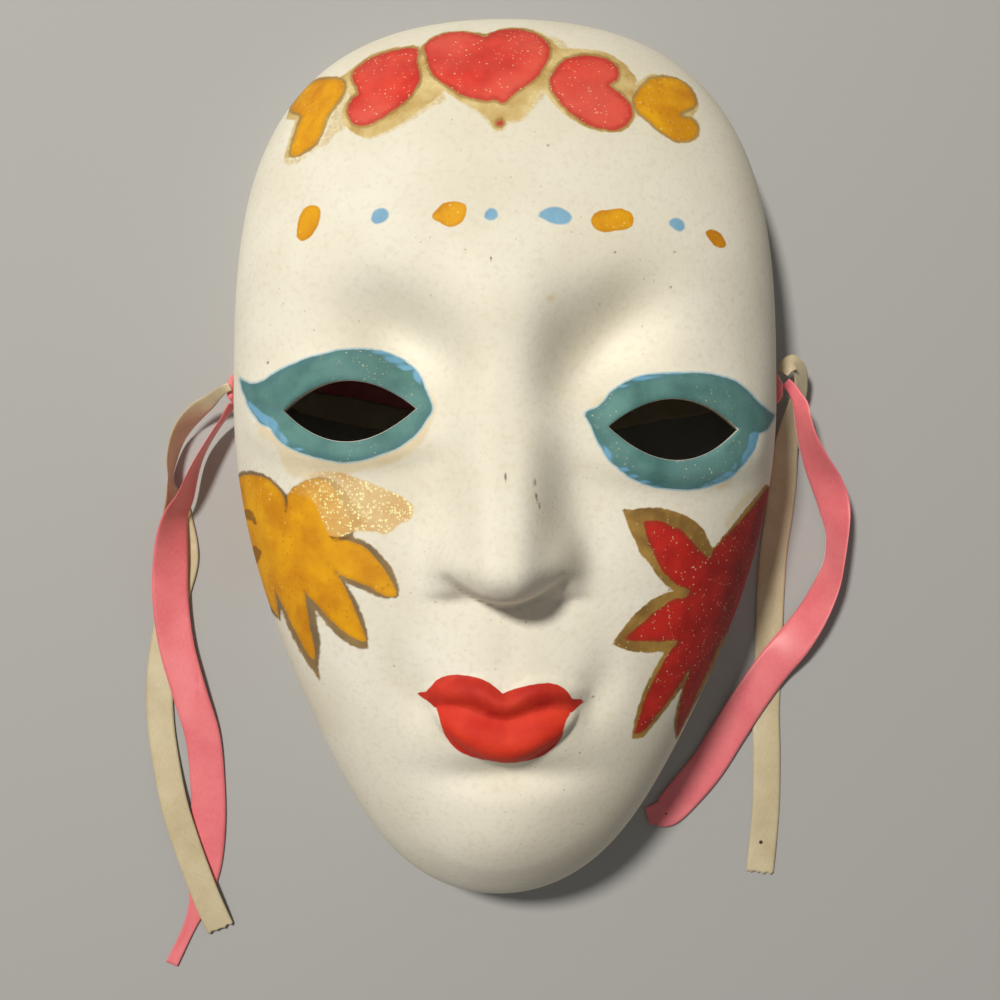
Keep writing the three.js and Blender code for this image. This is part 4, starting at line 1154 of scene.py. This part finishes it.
# a brushed edge: the distance inside an area, waved by noise, becomes a mask that is softly thresholded
brushed, given, result = new_group(
    "brushed_edge",
    {"Inside": 0, "Waver": 1, "Softness": 0.6},
)
wave = sums(brushed, "SUBTRACT", noise(brushed, own_place(brushed), 650.0, 3.0), 0.5)
shift = sums(brushed, "MULTIPLY", wave, sums(brushed, "MULTIPLY", given["Waver"], 2.5))
low = sums(brushed, "MULTIPLY", given["Softness"], -1.0)
edge = wire(
    brushed,
    "ShaderNodeMapRange",
    {"Value": sums(brushed, "ADD", given["Inside"], shift), "From Min": low, "From Max": given["Softness"]},
    interpolation_type="SMOOTHSTEP",
)
brushed.links.new(edge.outputs["Result"], result["Mask"])

# flecks: cells of a random pattern, of which a share carries a round fleck of random strength
flecks, given, result = new_group(
    "flecks",
    {"Scale": 1500, "Share": 0.1, "Size": 0.3},
)
cells = wire(flecks, "ShaderNodeTexVoronoi", {"Vector": own_place(flecks), "Scale": given["Scale"]})
chance = wire(flecks, "ShaderNodeSeparateColor", {"Color": cells.outputs["Color"]}).outputs
chosen = sums(flecks, "LESS_THAN", chance[0], given["Share"])
size = sums(flecks, "MULTIPLY", given["Size"], sums(flecks, "ADD", chance[1], 0.35))
disc = sums(flecks, "LESS_THAN", cells.outputs["Distance"], size)
strength = sums(flecks, "ADD", sums(flecks, "MULTIPLY", chance[2], 0.6), 0.4)
flecks.links.new(sums(flecks, "MULTIPLY", sums(flecks, "MULTIPLY", chosen, disc), strength), result["Mask"])

bisque, tree, shader = shader_of("painted_bisque")


def layer_of(name, waver=0.8, softness=0.7, inset=0.0):
    """The mask of one painted area, or of what lies some dots of the picture further in."""
    stored = wire(tree, "ShaderNodeAttribute", attribute_name=name).outputs["Fac"]
    node = wire(tree, "ShaderNodeGroup", node_tree=brushed)
    tree.links.new(sums(tree, "SUBTRACT", stored, inset), node.inputs["Inside"])
    node.inputs["Waver"].default_value = waver
    node.inputs["Softness"].default_value = softness
    return node.outputs["Mask"]


def edge_of(name, waver, softness, inset):
    """The mask of a painted area's edge and of all outside it."""
    return sums(tree, "SUBTRACT", 1.0, layer_of(name, waver, softness, inset))


def fleck_mask(scale, share, size):
    """The mask of a scatter of flecks."""
    node = wire(tree, "ShaderNodeGroup", node_tree=flecks)
    for label, value in (("Scale", scale), ("Share", share), ("Size", size)):
        node.inputs[label].default_value = value
    return node.outputs["Mask"]


def noise_of(scale, detail=3.0, low=0.35, high=0.65):
    """Noise on the mask's own place, spread to run from 0 to 1."""
    return ranged(tree, noise(tree, own_place(tree), scale, detail), low, high)


def mix(share, under, over):
    """One colour over another on the mask."""
    return blended(tree, share, under, over)


def times(first, second):
    """Two masks together."""
    return sums(tree, "MULTIPLY", first, second, clamp=True)


stroke = noise_of(160, 4)
patch = noise_of(55, 2)
grain = noise_of(1100, 2)
ware = mix(patch, tint(238, 232, 216), tint(230, 223, 204))
ware = mix(times(noise_of(14, 1, 0.45, 0.7), 0.5), ware, tint(222, 213, 190))
ware = mix(times(noise_of(700, 4, 0.5, 0.7), 0.28), ware, tint(206, 196, 172))
ware = mix(times(fleck_mask(900, 0.06, 0.22), noise_of(30, 1, 0.4, 0.6)), ware, tint(188, 178, 156))
ware = mix(times(fleck_mask(420, 0.03, 0.16), noise_of(30, 1, 0.45, 0.6)), ware, tint(140, 126, 106))
ware = mix(times(fleck_mask(200, 0.016, 0.085), 0.8), ware, tint(84, 74, 64))
washed = mix(stroke, tint(228, 203, 150), tint(216, 188, 134))
colour = mix(times(layer_of("wash", 2.2, 2.8), 0.5), ware, washed)
smeared = mix(grain, tint(226, 205, 140), tint(188, 158, 96))
colour = mix(times(layer_of("gold_smear", 2.0, 1.8), 0.6), colour, smeared)
# the crown's borders are pale gold with a dark line along each heart, the flower's are of a brownish gold
sideways, upward, _ = wire(tree, "ShaderNodeSeparateXYZ", {"Vector": own_place(tree)}).outputs
crown = ranged(tree, upward, 0.045, 0.05)
pale_gold = mix(stroke, tint(226, 204, 146), tint(186, 152, 88))
pale_gold = mix(times(grain, 0.5), pale_gold, tint(206, 176, 112))
brown_gold = mix(stroke, tint(172, 134, 66), tint(128, 96, 48))
bordered = layer_of("gold_border", 1.2, 0.9)
colour = mix(bordered, colour, mix(crown, brown_gold, pale_gold))
lined = sums(tree, "MAXIMUM", layer_of("heart_red", 1.4, 1.2, -2.4), layer_of("yellow", 1.4, 1.2, -2.6))
colour = mix(times(times(lined, bordered), 0.72), colour, mix(patch, tint(132, 98, 44), tint(160, 122, 62)))
olive = mix(stroke, tint(140, 106, 48), tint(104, 80, 40))
colour = mix(times(layer_of("brown_border", 1.8, 1.3, 0.6), 0.92), colour, olive)
red = mix(stroke, tint(224, 66, 50), tint(196, 44, 36))
red = mix(times(patch, 0.55), red, tint(232, 104, 86))
red = mix(times(edge_of("heart_red", 3.0, 3.5, 3.5), 0.6), red, tint(172, 50, 38))
colour = mix(layer_of("heart_red", 1.2, 1.0), colour, red)
yellow = mix(stroke, tint(230, 162, 10), tint(208, 134, 4))
yellow = mix(times(patch, 0.5), yellow, tint(236, 176, 20))
yellow = mix(times(noise_of(90, 3, 0.5, 0.62), 0.45), yellow, tint(190, 116, 4))
yellow = mix(times(fleck_mask(950, 0.28, 0.32), 0.5), yellow, tint(180, 108, 6))
yellow = mix(times(edge_of("yellow", 3.0, 2.5, 2.0), 0.4), yellow, tint(176, 116, 10))
colour = mix(layer_of("yellow"), colour, yellow)
colour = mix(times(layer_of("brown_spot", 1.4, 0.9), 0.8), colour, tint(124, 82, 24))
wandering = sums(tree, "ADD", sideways, sums(tree, "MULTIPLY", stroke, 0.004))
fading = ranged(tree, wandering, -0.046, -0.033)
petal = mix(stroke, tint(224, 188, 130), tint(208, 162, 92))
thin_petal = times(layer_of("pale_petal", 1.2, 1.4), sums(tree, "ADD", times(fading, 0.75), 0.12))
colour = mix(thin_petal, colour, petal)
crimson = mix(stroke, tint(200, 44, 34), tint(168, 32, 28))
# painted shade, partly the paint's own deeper tone: the crimson darkens toward the mask's outer right side,
# where the wall turns away from the lamp
painted_shade_outer_side = ranged(tree, sideways, 0.04, 0.055)
crimson = mix(times(painted_shade_outer_side, 0.7), crimson, mix(stroke, tint(146, 34, 28), tint(112, 26, 24)))
crimson = mix(times(edge_of("flower_red", 4.0, 3.5, 2.5), 0.5), crimson, tint(116, 58, 30))
colour = mix(layer_of("flower_red", 1.6, 1.3), colour, crimson)
colour = mix(times(layer_of("teal", 0.5, 1.0, -1.7), 0.7), colour, tint(146, 188, 206))
lid = mix(stroke, tint(90, 134, 128), tint(66, 106, 104))
lid = mix(times(patch, 0.6), lid, tint(112, 154, 150))
lid = mix(times(edge_of("teal", 3.0, 4.0, 5.0), 0.5), lid, tint(74, 116, 124))
colour = mix(layer_of("teal", 0.6, 0.7), colour, lid)
blue = mix(stroke, tint(122, 176, 206), tint(104, 158, 194))
colour = mix(times(layer_of("sky_blue", 0.5, 1.3), 0.92), colour, blue)
colour = mix(layer_of("upper_lip", 0.5, 0.6), colour, mix(stroke, tint(208, 58, 38), tint(184, 40, 28)))
lower = mix(stroke, tint(224, 62, 38), tint(206, 46, 28))
colour = mix(layer_of("lower_lip", 0.5, 0.6), colour, lower)
# the thin dark grey marks: the scratches, and the line at the right corner of the mouth
colour = mix(times(layer_of("dark_mark", 1.6, 0.9), 0.8), colour, tint(70, 64, 58))
# the glitter: real flecks on the paint, drawn as pale bright dots, so their glint is painted into the colour
# as painted highlights
glitter_glint = fleck_mask(2300, 0.075, 0.42)
glitter_cover = times(layer_of("teal"), noise_of(55, 1, 0.42, 0.6))
glitter_cover = sums(tree, "ADD", glitter_cover, times(layer_of("heart_red"), 0.7))
glitter_cover = sums(tree, "ADD", glitter_cover, times(bordered, 0.6))
glitter_cover = sums(tree, "ADD", glitter_cover, times(layer_of("flower_red"), noise_of(40, 1, 0.45, 0.6)), clamp=True)
colour = mix(times(times(glitter_cover, glitter_glint), 0.7), colour, tint(238, 214, 166))
# painted glints of the glitter on the pale petal
petal_glitter_glint = times(fleck_mask(1700, 0.5, 0.5), sums(tree, "ADD", fading, 0.35))
colour = mix(times(layer_of("pale_petal"), petal_glitter_glint), colour, tint(250, 240, 176))
# painted glints of the glitter on the yellow paint
scatter = times(fleck_mask(1700, 0.09, 0.45), noise_of(60, 2, 0.45, 0.6))
colour = mix(times(layer_of("yellow"), scatter), colour, tint(250, 214, 120))
tree.links.new(colour, shader.inputs["Base Color"])
shader.inputs["Roughness"].default_value = 0.72
shader.inputs["Specular IOR Level"].default_value = 0.35
height = sums(tree, "ADD", times(grain, 0.25), times(stroke, times(layer_of("teal"), 0.6)))
bump = wire(tree, "ShaderNodeBump", {"Height": height, "Strength": 0.35, "Distance": 0.0002})
tree.links.new(bump.outputs["Normal"], shader.inputs["Normal"])
mask.data.materials.append(bisque)
